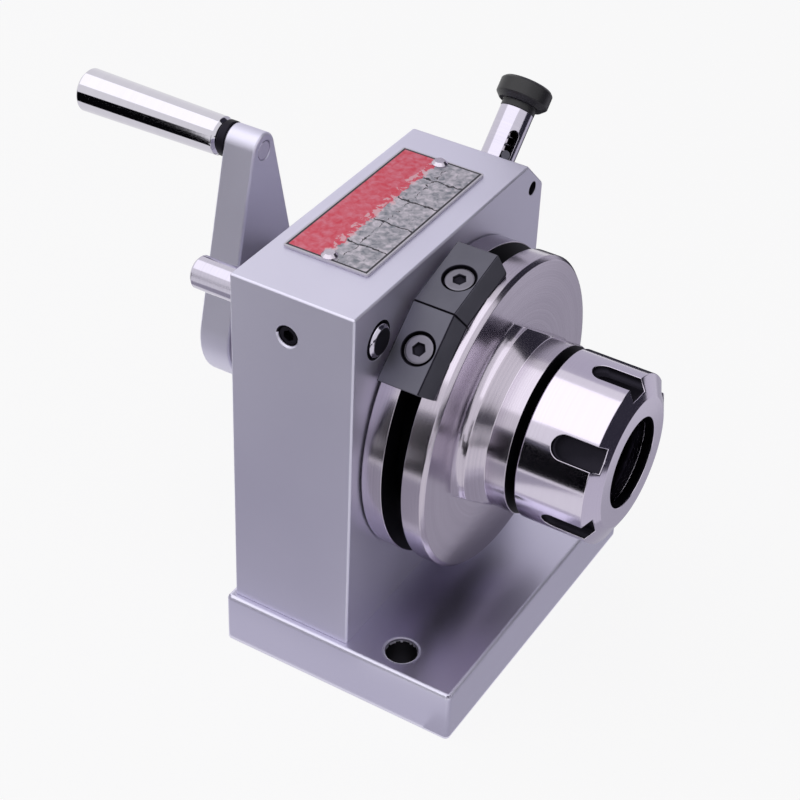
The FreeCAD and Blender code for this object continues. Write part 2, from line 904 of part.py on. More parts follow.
def make_arm_spacer():
    corners = ring_outline(tail_bore, size.spacer_radius, size.thread_rear,
                           size.thread_rear - size.arm_front, SPACER_EDGE)
    keep(turned("arm_spacer", corners, SPINDLE))


def draw_arm(sketch):
    """A large arc round the axis and a small one round the handle pin, joined by tangent lines."""
    big = size.arm_big_radius.value
    small = size.arm_small_radius.value
    throw = size.crank_throw.value
    lean = math.asin((big - small) / throw)
    along = Vector(math.cos(lean), math.sin(lean), 0)
    mirrored = Vector(-along.x, along.y, 0)
    centre = Vector(0, 0, 0)
    pin = Vector(0, throw, 0)
    normal = Vector(0, 0, 1)
    sketch.addGeometry([
        Part.ArcOfCircle(Part.Circle(centre, normal, big), math.pi - lean, 2 * math.pi + lean),
        Part.LineSegment(centre + along * big, pin + along * small),
        Part.ArcOfCircle(Part.Circle(pin, normal, small), lean, math.pi - lean),
        Part.LineSegment(pin + mirrored * small, centre + mirrored * big),
    ], False)
    big_arc, right_line, small_arc, left_line = range(4)
    start, end, middle = 1, 2, 3
    sketch.addConstraint([
        Sketcher.Constraint("Coincident", big_arc, middle, -1, 1),
        Sketcher.Constraint("PointOnObject", small_arc, middle, -2),
        Sketcher.Constraint("Tangent", big_arc, end, right_line, start),
        Sketcher.Constraint("Tangent", right_line, end, small_arc, start),
        Sketcher.Constraint("Tangent", small_arc, end, left_line, start),
        Sketcher.Constraint("Tangent", left_line, end, big_arc, start),
        Sketcher.Constraint("DistanceY", -1, 1, small_arc, middle, throw),
        Sketcher.Constraint("Radius", big_arc, big),
        Sketcher.Constraint("Radius", small_arc, small),
    ])
    sketch.setExpression("Constraints[6]", size.crank_throw.text)
    sketch.setExpression("Constraints[7]", size.arm_big_radius.text)
    sketch.setExpression("Constraints[8]", size.arm_small_radius.text)


def make_crank_arm():
    body = new_body("crank_arm", inside(SPINDLE, place(z=arm_rear)))
    sketch = new_sketch(body, "XY_Plane")
    draw_arm(sketch)
    raise_outline(body, sketch, size.arm_thickness)
    dress_edges(body, "Chamfer", lambda middle, ends: near(ends[0].z, ends[-1].z), size.arm_edge)
    drill(body, WORLD, tail_bore, size.arm_thickness)
    drill(body, place(0, size.crank_throw, 0), PIN_THREAD, size.arm_thickness)
    keyway = place(-size.key_width / 2, -size.tail_radius - ARM_KEYWAY_DEPTH, 0)
    mill(body, keyway, size.key_width, size.tail_radius, size.arm_thickness)
    screw = place(0, -size.tail_radius, size.arm_thickness / 2, X_AXIS, 90)
    drill(body, screw, ARM_SCREW_THREAD, size.arm_big_radius)
    return keep(body)


def make_arm_key():
    half = size.key_width / 2 - KEY_SIDE_GAP
    low = -size.tail_radius - ARM_KEYWAY_DEPTH + KEY_SIDE_GAP
    high = -size.tail_radius + KEYWAY_DEPTH - KEY_SIDE_GAP
    body = raised("arm_key", rectangle(-half, half, low, high), size.arm_thickness - 2 * KEY_END_GAP,
                  inside(SPINDLE, place(z=arm_rear + KEY_END_GAP)))
    keep(body)


def make_arm_set_screw():
    inner = -size.tail_radius - ARM_KEYWAY_DEPTH
    where = inside(SPINDLE, place(0, inner, arm_rear + size.arm_thickness / 2, X_AXIS, 90))
    keep(set_screw("arm_set_screw", where, ARM_SCREW_THREAD, ARM_SCREW_LENGTH, ARM_SCREW_FLATS))


def make_tail_circlip():
    gap = (CLIP_GROOVE_FRONT - CLIP_GROOVE_REAR - CLIP_THICKNESS) / 2
    inner = size.clip_groove_radius + size.face_gap
    front = CLIP_GROOVE_FRONT - gap
    corners = rectangle(inner, inner + CLIP_WIDTH, front - CLIP_THICKNESS, front)
    body = turned("tail_circlip", corners, SPINDLE)
    mill(body, place(-CLIP_OPENING / 2, 0, front - CLIP_THICKNESS), CLIP_OPENING, BEYOND_RIM, CLIP_THICKNESS)
    keep(body)


def make_handle_pin():
    """A shoulder screw: its thread is in the arm, and the handle turns on its shoulder."""
    head_seat = size.handle_rear + HANDLE_COUNTERBORE_DEPTH - NUT_GAP
    pin_end = size.arm_front - PIN_SET_BACK
    thread = PIN_THREAD - THREAD_CLEARANCE
    corners = [
        (0, head_seat - PIN_HEAD_HEIGHT),
        (PIN_HEAD - SCREW_EDGE, head_seat - PIN_HEAD_HEIGHT),
        (PIN_HEAD, head_seat - PIN_HEAD_HEIGHT + SCREW_EDGE),
        (PIN_HEAD, head_seat),
        (PIN_SHOULDER, head_seat),
        (PIN_SHOULDER, arm_rear),
        (thread, arm_rear),
        (thread, pin_end - SCREW_EDGE),
        (thread - SCREW_EDGE, pin_end),
        (0, pin_end),
    ]
    body = turned("handle_pin", corners, CRANK_PIN)
    sink_hexagon(body, place(z=head_seat - PIN_HEAD_HEIGHT), PIN_SOCKET_FLATS, PIN_SOCKET_DEPTH)
    keep(body)


def make_handle_washer():
    thickness = arm_rear - size.handle_front - HANDLE_WASHER_GAP
    corners = ring_outline(PIN_SHOULDER + size.face_gap, HANDLE_WASHER_RADIUS, arm_rear, thickness, WASHER_EDGE)
    keep(turned("handle_washer", corners, CRANK_PIN))


def make_crank_handle():
    """A handle that grows slightly towards its free end, with both edges broken."""
    front = size.handle_front
    rear = size.handle_rear
    edge = HANDLE_EDGE
    corners = [
        (HANDLE_COUNTERBORE, rear),
        (size.handle_outer_radius - edge, rear),
        (size.handle_outer_radius, rear + edge),
        (size.handle_inner_radius, front - edge),
        (size.handle_inner_radius - edge, front),
        (size.handle_bore_radius, front),
        (size.handle_bore_radius, rear + HANDLE_COUNTERBORE_DEPTH),
        (HANDLE_COUNTERBORE, rear + HANDLE_COUNTERBORE_DEPTH),
    ]
    return keep(turned("crank_handle", corners, CRANK_PIN))


# Collet nut and the slip ring that it carries

NUT_REAR_EDGE = 0.6
NUT_BORE_END = 49.6
NUT_LIP_RADIUS = 17.9
NUT_LIP_FRONT = 50.3
NUT_POCKET_RADIUS = 18.5
NUT_POCKET_FRONT = 56.0
SLIP_RING_RADIUS = 18.2
SLIP_RING_BORE = 13.9
SLIP_RING_MOUTH = 16.9
SLIP_RING_REAR = 50.5
SLIP_RING_FRONT = 55.8


def make_collet_nut():
    corners = [
        (size.nose_radius + size.running_fit, size.nut_rear),
        (size.nut_radius - NUT_REAR_EDGE, size.nut_rear),
        (size.nut_radius, size.nut_rear + NUT_REAR_EDGE),
        (size.nut_radius, size.nut_cone_rear),
        (size.nut_face_radius, size.nut_front),
        (size.nut_mouth_radius, size.nut_front),
        (size.nut_mouth_radius, NUT_POCKET_FRONT),
        (NUT_POCKET_RADIUS, NUT_POCKET_FRONT),
        (NUT_POCKET_RADIUS, NUT_LIP_FRONT),
        (NUT_LIP_RADIUS, NUT_LIP_FRONT),
        (NUT_LIP_RADIUS, NUT_BORE_END),
        (size.nose_radius + size.running_fit, NUT_BORE_END),
    ]
    body = turned("collet_nut", corners, SPINDLE)
    # Spanner slots: straight and open to the front, with a round end towards the drum
    half = size.nut_slot_width / 2
    slot_middle = size.nut_slot_rear + half
    at_slot = turned_by(size.nut_slot_angle)
    straight = mill(
        body, inside(at_slot, place(size.nut_slot_floor, -half, slot_middle)),
        BEYOND_RIM, size.nut_slot_width, size.nut_front - slot_middle + 1)
    round_the_axis(body, straight, size.nut_slot_count)
    round_end = drill(
        body, inside(at_slot, rightward(size.nut_slot_floor, 0, slot_middle)), half, BEYOND_RIM)
    round_the_axis(body, round_end, size.nut_slot_count)
    return keep(body)


def make_nut_slip_ring():
    corners = [
        (SLIP_RING_BORE, SLIP_RING_FRONT),
        (SLIP_RING_BORE, SLIP_RING_REAR + (SLIP_RING_MOUTH - SLIP_RING_BORE)),
        (SLIP_RING_MOUTH, SLIP_RING_REAR),
        (SLIP_RING_RADIUS, SLIP_RING_REAR),
        (SLIP_RING_RADIUS, SLIP_RING_FRONT),
    ]
    return keep(turned("nut_slip_ring", corners, SPINDLE))


# Stop dogs. In a dog's own frame X points away from the spindle axis and Z is the station.
# A dog is keyed in the slot on both sides of its screw, which stands behind the middle of the slot.

DOG_EDGE_GAP = 0.1
DOG_RIM_GAP = 0.05
DOG_SCREW_THREAD = 2.0
DOG_SCREW_HEAD = 4.1
DOG_SCREW_HEAD_HEIGHT = 2.9
DOG_SCREW_FLATS = 3.0
DOG_SCREW_LENGTH = 12.5
DOG_SCREW_CLEARANCE = 2.2
DOG_TONGUE_GAP = 0.1
DOG_TONGUE_BOTTOM = 40.0
DOG_TONGUE_BREAK = 6.0
DOG_TONGUE_RUN_OUT = 1.0
DOG_BLANK_RADIUS = 54.0
TNUT_RADIUS = 5.1
TNUT_BOTTOM = 34.3
TNUT_TOP = 39.2


def make_stop_dog(label, angle):
    where = inside(SPINDLE, turned_by(angle))
    seat = size.drum_radius + DOG_RIM_GAP
    blank = [
        (seat, size.dog_rear),
        (DOG_BLANK_RADIUS, size.dog_rear),
        (DOG_BLANK_RADIUS, size.dog_front),
        (seat, size.dog_front),
        (seat, size.slot_front - DOG_TONGUE_GAP),
        (DOG_TONGUE_BOTTOM, size.slot_front - DOG_TONGUE_GAP),
        (DOG_TONGUE_BOTTOM, size.slot_rear + DOG_TONGUE_GAP),
        (seat, size.slot_rear + DOG_TONGUE_GAP),
    ]
    body = turned(label, blank, where, sweep=2 * (size.dog_half_angle - DOG_EDGE_GAP))
    # The top is flat, and the front is bevelled down to the rim of the drum
    top = body.newObject("Sketcher::SketchObject", f"{label}_top_outline")
    top.AttachmentSupport = (plane_of(body, "XZ_Plane"), [""])
    top.MapMode = "FlatFace"
    beyond = DOG_BLANK_RADIUS + DOG_RIM_GAP
    draw_outline(top, [
        (size.dog_top, 0),
        (size.dog_top, size.dog_flat_front),
        (seat, size.dog_front),
        (seat, beyond),
        (beyond, beyond),
        (beyond, 0),
    ])
    milled = body.newObject("PartDesign::Pocket", f"{label}_top")
    milled.Profile = top
    milled.Midplane = True
    milled.Type = 0
    milled.Length = 2 * BEYOND_RIM
    below_tongue = DOG_TONGUE_BOTTOM - DOG_TONGUE_RUN_OUT
    mill(body, place(below_tongue, -DOG_TONGUE_BREAK / 2, size.slot_rear),
         seat - below_tongue, DOG_TONGUE_BREAK, size.slot_front - size.slot_rear)
    at_screw = rightward(size.dog_screw_seat, 0, size.dog_screw_station)
    drill(body, at_screw, size.dog_counterbore_radius, BEYOND_RIM)
    drill(body, rightward(below_tongue, 0, size.dog_screw_station), DOG_SCREW_CLEARANCE, BEYOND_RIM)
    keep(body)

    keep(cap_screw(
        f"{label}_screw", inside(where, at_screw), DOG_SCREW_THREAD, DOG_SCREW_LENGTH,
        DOG_SCREW_HEAD, DOG_SCREW_HEAD_HEIGHT, DOG_SCREW_FLATS))

    # The T-nut is round, so that it drops through the slot's entry. Its thread is off its centre.
    slot_middle = (size.slot_front + size.slot_rear) / 2
    outline = [
        (0, TNUT_BOTTOM),
        (TNUT_RADIUS - SCREW_EDGE, TNUT_BOTTOM),
        (TNUT_RADIUS, TNUT_BOTTOM + SCREW_EDGE),
        (TNUT_RADIUS, TNUT_TOP - SCREW_EDGE),
        (TNUT_RADIUS - SCREW_EDGE, TNUT_TOP),
        (0, TNUT_TOP),
    ]
    tnut = turned(f"{label}_tnut", outline, inside(where, rightward(0, 0, slot_middle)))
    # In the T-nut's own frame -X is forward along the spindle
    drill(tnut, place(slot_middle - size.dog_screw_station, 0, TNUT_BOTTOM),
          DOG_SCREW_THREAD, TNUT_TOP - TNUT_BOTTOM)
    keep(tnut)


def make_stop_dogs():
    make_stop_dog("stop_dog_a", size.dog_a_angle)
    make_stop_dog("stop_dog_b", size.dog_b_angle)


# Stop rod with its brake in the side of the block

BRAKE_PAD_RADIUS = 2.7
BRAKE_PAD_LENGTH = 3.0
BRAKE_SCREW_LENGTH = 3.6
BRAKE_SCREW_FLATS = 3.0
BRAKE_GAP = 0.05


def make_stop_rod():
    radius = size.rod_radius
    chamfer = size.rod_end_chamfer
    front = -size.rod_front
    rear = -size.rod_rear
    corners = [
        (0, front),
        (radius - chamfer, front),
        (radius, front + chamfer),
        (radius, rear - chamfer),
        (radius - chamfer, rear),
        (0, rear),
    ]
    return keep(turned("stop_rod", corners, ROD))


def make_rod_brake():
    pad_end = rod_x - size.rod_radius - BRAKE_GAP
    leftward = place(pad_end, BRAKE_BACK, rod_above_base, Y_AXIS, -90)
    outline = rectangle(0, BRAKE_PAD_RADIUS, 0, BRAKE_PAD_LENGTH)
    keep(turned("rod_brake_pad", outline, inside(BLOCK, leftward)))
    behind = inside(BLOCK, leftward, place(z=BRAKE_PAD_LENGTH))
    keep(set_screw("rod_brake_screw", behind, BRAKE_SCREW_THREAD, BRAKE_SCREW_LENGTH, BRAKE_SCREW_FLATS))


# Index plunger. Its own Z axis points from the spindle axis out through the block's cut corner.

SLEEVE_GUIDE_END = 66.0
SLEEVE_CHAMBER_RADIUS = 3.7
SLEEVE_CAP = 2.5
STEM_RADIUS = 1.9
SHANK_END = 70.5
TIP_CHAMFER = 0.6
SLOT_START = 62.0
CROSS_PIN_RADIUS = 1.4
CROSS_PIN_REACH = 4.9
CROSS_PIN_REACH_BEYOND = 0.9
KNOB_COLLAR_RADIUS = 5.2
KNOB_COLLAR = 2.0
KNOB_BEVEL = 1.5
KNOB_EDGE = 0.9
KNOB_BORE_DEPTH = 5.0
SPRING_WIRE = 0.35
SPRING_TURNS = 4.0
SPRING_END_GAP = 0.05

slot_round = size.sleeve_slot_width / 2
cross_pin_distance = size.sleeve_slot_end - slot_round - size.plunger_travel
guide_bore = size.plunger_radius + size.running_fit
chamber_end = size.sleeve_outer_end - SLEEVE_CAP


def make_plunger_sleeve():
    radius = size.sleeve_radius - size.face_gap
    corners = [
        (guide_bore, size.sleeve_inner_end),
        (radius - SCREW_EDGE, size.sleeve_inner_end),
        (radius, size.sleeve_inner_end + SCREW_EDGE),
        (radius, size.sleeve_outer_end),
        (STEM_RADIUS + size.running_fit, size.sleeve_outer_end),
        (STEM_RADIUS + size.running_fit, chamber_end),
        (SLEEVE_CHAMBER_RADIUS, chamber_end),
        (SLEEVE_CHAMBER_RADIUS, SLEEVE_GUIDE_END),
        (guide_bore, SLEEVE_GUIDE_END),
    ]
    body = turned("plunger_sleeve", corners, PLUNGER)
    facing = turned_by(size.sleeve_slot_angle)
    slot_end_centre = size.sleeve_slot_end - slot_round
    mill(body, inside(facing, place(0, -slot_round, SLOT_START)),
         BEYOND_RIM, size.sleeve_slot_width, slot_end_centre - SLOT_START)
    drill(body, inside(facing, rightward(0, 0, slot_end_centre)), slot_round, BEYOND_RIM)
    return keep(body)


def make_sleeve_set_screw():
    where = inside(BLOCK, place(
        sleeve_screw_x, size.plunger_back - size.sleeve_radius, axis_above_base + sleeve_screw_above_axis,
        X_AXIS, 90))
    keep(set_screw("sleeve_set_screw", where, SLEEVE_SCREW_THREAD, SLEEVE_SCREW_LENGTH, SLEEVE_SCREW_FLATS))


def make_plunger_pin():
    pin = size.plunger_radius
    stem_end = size.sleeve_outer_end + KNOB_BORE_DEPTH
    corners = [
        (0, size.plunger_tip),
        (pin - TIP_CHAMFER, size.plunger_tip),
        (pin, size.plunger_tip + TIP_CHAMFER),
        (pin, SHANK_END),
        (STEM_RADIUS, SHANK_END),
        (STEM_RADIUS, stem_end),
        (0, stem_end),
    ]
    body = turned("plunger_pin", corners, PLUNGER)
    start = -CROSS_PIN_REACH_BEYOND - size.face_gap
    across = inside(turned_by(size.sleeve_slot_angle), rightward(start, 0, cross_pin_distance))
    drill(body, across, CROSS_PIN_RADIUS, BEYOND_RIM)
    return keep(body)


def make_plunger_cross_pin():
    radius = CROSS_PIN_RADIUS - size.face_gap
    start = -CROSS_PIN_REACH_BEYOND
    across = inside(turned_by(size.sleeve_slot_angle), rightward(start, 0, cross_pin_distance))
    outline = rectangle(0, radius, 0, CROSS_PIN_REACH - start)
    keep(turned("plunger_cross_pin", outline, inside(PLUNGER, across)))


def make_plunger_knob():
    bottom = size.sleeve_outer_end + size.face_gap
    collar_top = size.sleeve_outer_end + KNOB_COLLAR
    bore = STEM_RADIUS + size.face_gap
    corners = [
        (bore, bottom),
        (KNOB_COLLAR_RADIUS, bottom),
        (KNOB_COLLAR_RADIUS, collar_top),
        (size.knob_radius - KNOB_BEVEL, collar_top),
        (size.knob_radius, collar_top + KNOB_BEVEL),
        (size.knob_radius, size.knob_top - KNOB_EDGE),
        (size.knob_radius - KNOB_EDGE, size.knob_top),
        (0, size.knob_top),
        (0, size.sleeve_outer_end + KNOB_BORE_DEPTH),
        (bore, size.sleeve_outer_end + KNOB_BORE_DEPTH),
    ]
    return keep(turned("plunger_knob", corners, PLUNGER))


def make_plunger_spring():
    """A coil of square wire between the shank of the pin and the closed end of the sleeve."""
    bottom = SHANK_END + SPRING_WIRE + SPRING_END_GAP
    height = chamber_end - SPRING_WIRE - SPRING_END_GAP - bottom
    mean_radius = (STEM_RADIUS + SLEEVE_CHAMBER_RADIUS) / 2
    coil = doc.addObject("Part::Helix", "spring_coil")
    bind(coil, "Height", height)
    bind(coil, "Pitch", height / SPRING_TURNS)
    bind(coil, "Radius", mean_radius)
    wire = doc.addObject("Part::RegularPolygon", "spring_wire")
    wire.Polygon = 4
    bind(wire, "Circumradius", SPRING_WIRE)
    wire.setExpression("Placement", place(mean_radius, 0, 0, X_AXIS, 90))
    spring = doc.addObject("Part::Sweep", "plunger_spring")
    spring.Label = "plunger_spring"
    spring.Sections = [wire]
    spring.Spine = (coil, ["Edge1"])
    spring.Solid = True
    spring.Frenet = True
    spring.setExpression("Placement", inside(PLUNGER, place(z=bottom)))
    keep(spring)


make_base_plate()
make_upright_block()
make_base_screws()
make_dowel_pins()
make_nameplate()
make_nameplate_rivets()
make_spindle_bush()
make_spindle()
make_index_ring()
make_index_ring_screws()
make_thrust_washer()
make_ring_nuts()
make_arm_spacer()
make_crank_arm()
make_arm_key()
make_arm_set_screw()
make_tail_circlip()
make_handle_pin()
make_handle_washer()
make_crank_handle()
make_collet_nut()
make_nut_slip_ring()
make_stop_dogs()
make_stop_rod()
make_rod_brake()
make_plunger_sleeve()
make_sleeve_set_screw()
make_plunger_pin()
make_plunger_cross_pin()
make_plunger_knob()
make_plunger_spring()
doc.recompute()


# Checks before anything is written

CUTTING_FEATURES = ("Subtractive", "Pocket", "PolarPattern", "Chamfer")

for item in doc.Objects:
    if "Invalid" in item.State or "Error" in item.State:
        raise RuntimeError(f"{item.Label} did not recompute: {item.State}")
    base = getattr(item, "BaseFeature", None)
    if base is not None and any(kind in item.TypeId for kind in CUTTING_FEATURES):
        removed = base.Shape.Volume - item.Shape.Volume
        if removed < 1e-6:
            raise RuntimeError(f"{item.Label} cuts nothing")
        if "PolarPattern" in item.TypeId:
            first = item.Originals[0]
            wanted = (first.BaseFeature.Shape.Volume - first.Shape.Volume) * (item.Occurrences - 1)
            if abs(removed - wanted) > 0.02 * wanted:
                raise RuntimeError(f"{item.Label} repeats {removed:.2f} mm3, not {wanted:.2f}")

for sub_part in sub_parts:
    if sub_part.Shape.isNull() or not sub_part.Shape.isValid():
        raise RuntimeError(f"{sub_part.Label} has no valid shape")

os.makedirs("parts", exist_ok=True)
for sub_part in sub_parts:
    sub_part.Shape.exportStep(os.path.join("parts", f"{sub_part.Label}.step"))
    box = sub_part.Shape.BoundBox
    print(f"{sub_part.Label}: {len(sub_part.Shape.Solids)} solid(s), {sub_part.Shape.Volume:.1f} mm3,"
          f" x {box.XMin:.2f} {box.XMax:.2f}, y {box.YMin:.2f} {box.YMax:.2f},"
          f" z {box.ZMin:.2f} {box.ZMax:.2f}")
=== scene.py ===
# %% [markdown]
# A punch former holds a round blank in a collet while a grinder shapes its end. The metal pieces have
# been drawn and packed already. This lesson gives them their finish: edges, materials, light and camera.
# Everything is in metres, in the frame of the drawing: +X to the right, +Z up, the collet nut towards -Y.

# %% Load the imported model
import json
import math

import bmesh
import bpy
from mathutils import Matrix, Vector


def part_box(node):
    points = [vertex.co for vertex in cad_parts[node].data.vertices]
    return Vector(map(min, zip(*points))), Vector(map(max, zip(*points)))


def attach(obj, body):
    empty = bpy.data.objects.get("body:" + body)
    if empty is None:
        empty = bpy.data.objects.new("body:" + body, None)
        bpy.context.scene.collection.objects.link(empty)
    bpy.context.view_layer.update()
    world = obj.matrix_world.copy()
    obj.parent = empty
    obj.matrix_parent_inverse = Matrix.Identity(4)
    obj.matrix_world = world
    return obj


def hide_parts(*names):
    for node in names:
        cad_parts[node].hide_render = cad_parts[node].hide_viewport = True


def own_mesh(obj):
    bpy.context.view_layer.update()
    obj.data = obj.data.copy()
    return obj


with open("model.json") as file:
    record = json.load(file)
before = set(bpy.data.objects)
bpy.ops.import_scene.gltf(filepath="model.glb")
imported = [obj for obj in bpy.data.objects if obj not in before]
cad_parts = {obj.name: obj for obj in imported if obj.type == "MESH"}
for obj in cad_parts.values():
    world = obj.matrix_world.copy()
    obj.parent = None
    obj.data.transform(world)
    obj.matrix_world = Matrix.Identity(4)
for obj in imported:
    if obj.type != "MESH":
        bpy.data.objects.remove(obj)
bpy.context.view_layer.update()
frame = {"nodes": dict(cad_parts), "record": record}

MM = 0.001

# %% [markdown]
# Colours are picked as hex values from a screen, but the renderer adds up light, so it needs them linear.
# Materials are built from nodes, and one small function is enough to add any of them.

# %% Colours and nodes


def linear(hex_colour):
    """An sRGB hex colour as the linear red, green, blue and alpha that a shader takes."""
    channels = [int(hex_colour[place:place + 2], 16) / 255 for place in (1, 3, 5)]
    bright = [c / 12.92 if c <= 0.04045 else ((c + 0.055) / 1.055) ** 2.4 for c in channels]
    return (*bright, 1.0)


def add(tree, kind, inputs=(), **settings):
    """Adds a shader node. An input is a plain value, or another node's output to link to."""
    node = tree.nodes.new("ShaderNode" + kind)
    for name, value in settings.items():
        setattr(node, name, value)
    for name, value in dict(inputs).items():
        if isinstance(value, bpy.types.NodeSocket):
            tree.links.new(value, node.inputs[name])
        else:
            node.inputs[name].default_value = value
    return node


def new_material(name):
    """An empty material with its object coordinates, and its tree to build in."""
    material = bpy.data.materials.new(name)
    material.use_nodes = True
    material.node_tree.nodes.clear()
    coordinates = add(material.node_tree, "TexCoord").outputs["Object"]
    return material, material.node_tree, coordinates


def wear(tree, shader):
    """Ends a material with its shader."""
    add(tree, "OutputMaterial", {"Surface": shader.outputs[0]})


def middle_of(node):
    """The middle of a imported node's box."""
    low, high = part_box(node)
    return (low + high) / 2


# A Mix node has sockets for numbers, vectors and colours. These are the numbers of those for colours.
FACTOR, TONE_A, TONE_B, MIXED = 0, 6, 7, 2
print("mid grey on a screen is", round(linear("#808080")[0], 3), "in linear light")


# %% [markdown]
# The camera stands where the photograph was taken from. Its place and its two directions come from
# fitting the straight edges of the block and base and the round edges of the spindle.

# %% Camera
camera_place = Vector((-395.13, -213.87, 413.84)) * MM
camera_forward = Vector((0.68933, 0.39538, -0.60705))
camera_up = Vector((0.50401, 0.34018, 0.79388))

camera = bpy.data.objects.new("camera", bpy.data.cameras.new("camera"))
bpy.context.scene.collection.objects.link(camera)
camera_right = camera_forward.cross(camera_up)
turn = Matrix((camera_right, camera_up, -camera_forward)).transposed()
camera.matrix_world = Matrix.Translation(camera_place) @ turn.to_4x4()
camera.data.lens = 88.604  # mm, for a sensor that is 36 mm wide
camera.data.sensor_width = 36.0
camera.data.clip_start = 10 * MM
bpy.context.scene.camera = camera
bpy.context.scene.view_settings.view_transform = "Standard"
print("camera:", round(camera_place.length, 3), "m from the origin")

# %% [markdown]
# The part stands on a white table in a white room. Both have to look whiter than the light that they give
# to the part, so they mix in a white glow that the camera and the reflections see, and that lights nothing.

# %% White room and table


def as_object(name, shape, *materials):
    """Turns a worked mesh into an object of the scene that wears the materials."""
    mesh = bpy.data.meshes.new(name)
    shape.to_mesh(mesh)
    shape.free()
    for material in materials:
        mesh.materials.append(material)
    thing = bpy.data.objects.new(name, mesh)
    bpy.context.scene.collection.objects.link(thing)
    return thing


def stage_board(name, corners, paint):
    """A flat board from its corners, for the studio around the object."""
    shape = bmesh.new()
    shape.faces.new([shape.verts.new(corner) for corner in corners])
    board = as_object(name, shape, paint)
    return board


def white_where_seen(tree, plain, share):
    """Mixes a share of white glow into plain, for what the camera, a reflection or glass looks at."""
    path = add(tree, "LightPath").outputs
    seen = add(tree, "Math", {0: path["Is Camera Ray"], 1: path["Is Glossy Ray"]}, operation="MAXIMUM")
    seen = add(tree, "Math", {0: seen.outputs[0], 1: path["Is Transmission Ray"]}, operation="MAXIMUM")
    amount = add(tree, "Math", {0: seen.outputs[0], 1: share}, operation="MULTIPLY")
    glow_kind = "Background" if plain.bl_idname == "ShaderNodeBackground" else "Emission"
    glow = add(tree, glow_kind, {"Color": linear("#ffffff"), "Strength": 1.0})
    return add(tree, "MixShader", {0: amount.outputs[0], 1: plain.outputs[0], 2: glow.outputs[0]})


world = bpy.data.worlds.new("white_room")
world.use_nodes = True
world.node_tree.nodes.clear()
room = add(world.node_tree, "Background", {"Color": linear("#f2f0f6"), "Strength": 0.42})
seen_room = white_where_seen(world.node_tree, room, 1.0)
add(world.node_tree, "OutputWorld", {"Surface": seen_room.outputs[0]})
bpy.context.scene.world = world

TABLE_GLOW = 0.88  # a little less than white, so that the soft shadow under the part shows
floor_paint, floor_tree, _ = new_material("white_table")
floor_plain = add(floor_tree, "BsdfDiffuse", {"Color": linear("#f4f3f6")})
wear(floor_tree, white_where_seen(floor_tree, floor_plain, TABLE_GLOW))
TABLE_HALF = 3.0
table_corners = [(x * TABLE_HALF, y * TABLE_HALF, 0) for x, y in ((-1, -1), (1, -1), (1, 1), (-1, 1))]
stage_board("floor", table_corners, floor_paint)
print("table:", 2 * TABLE_HALF, "m wide")

# %% [markdown]
# Polished metal shows only what stands around it. So dark and grey boards stand beside the part and lie
# on the table, and give the bright metal its dark bands. The boards show in reflections only: they hide
# nothing from the camera and cast no shadow.

# %% Boards


def board_paint(name, hex_colour):
    """Board that keeps its own tone in every reflection, however it is lit."""
    paint, tree, _ = new_material(name)
    wear(tree, add(tree, "Emission", {"Color": linear(hex_colour), "Strength": 1.0}))
    return paint


BLACK, CHARCOAL = "#08080b", "#34333d"
# Each standing board: its tone, the line on the table that it follows, its lower and its upper edge
STANDING = [
    ("board_left", BLACK, (-0.95, -0.1), (-0.95, 0.5), 0.0, 0.36),
    ("board_left_edge", "#5a5963", (-0.95, -0.1), (-0.95, 0.5), 0.36, 0.46),
    ("board_left_far", BLACK, (-0.95, 0.62), (-0.95, 1.6), 0.0, 0.26),
    ("board_right", "#cbc9d3", (0.9, -0.3), (0.9, 0.55), 0.0, 1.45),
    ("board_front_right", CHARCOAL, (0.9, -0.25), (0.9, -1.4), 0.0, 1.7),
    ("board_front", CHARCOAL, (0.9, -1.4), (-0.8, -1.4), 0.0, 0.33),
]
# The other boards lie on the table: their tone and their outline
LYING = [
    ("table_board_left", BLACK, [(-0.50, -0.9), (-0.222, 0.1), (-0.24, 0.12), (-0.42, 0.17), (-0.95, 0.46),
                                 (-0.95, -0.9)]),
    ("table_board_left_far", BLACK, [(-0.13, 0.16), (-0.95, 0.61), (-0.95, 1.5), (-0.13, 1.5)]),
    ("table_board_near", "#aeacb6", [(-0.20, 0.0), (-0.07, 0.0), (-0.07, 0.15), (-0.20, 0.15)]),
    ("table_board_foot", "#cfcdd7", [(-0.07, -0.12), (-0.0535, -0.12), (-0.0535, 0.09), (-0.07, 0.09)]),
    ("table_board_front", "#d6d4dd", [(-0.06, -0.26), (0.9, -0.26), (0.9, -0.1), (-0.06, -0.1)]),
    ("table_board_ledge", "#b4b2bc", [(-0.06, -0.1), (0.9, -0.1), (0.9, -0.03), (-0.06, -0.03)]),
    ("table_board_front_far", CHARCOAL, [(-0.4, -1.4), (0.9, -1.4), (0.9, -0.26), (-0.15, -0.26)]),
    ("table_board_right", "#2c2b35", [(0.075, -0.03), (0.6, -0.03), (0.6, 0.13), (0.075, 0.13)]),
]
JUST_ABOVE = 1 * MM
boards = []
for name, tone, (x1, y1), (x2, y2), low, high in STANDING:
    corners = [(x1, y1, low), (x2, y2, low), (x2, y2, high), (x1, y1, high)]
    boards.append(stage_board(name, corners, board_paint(name + "_paint", tone)))
for name, tone, outline in LYING:
    corners = [(x, y, JUST_ABOVE) for x, y in outline]
    boards.append(stage_board(name, corners, board_paint(name + "_paint", tone)))
for board in boards:
    board.visible_camera = False
    board.visible_diffuse = False
    board.visible_shadow = False
    board.visible_transmission = False
print("boards:", len(boards))

# %% [markdown]
# One large soft lamp overhead lights the tops of the metal, and leaves only a faint shadow on the table.

# %% Lamp


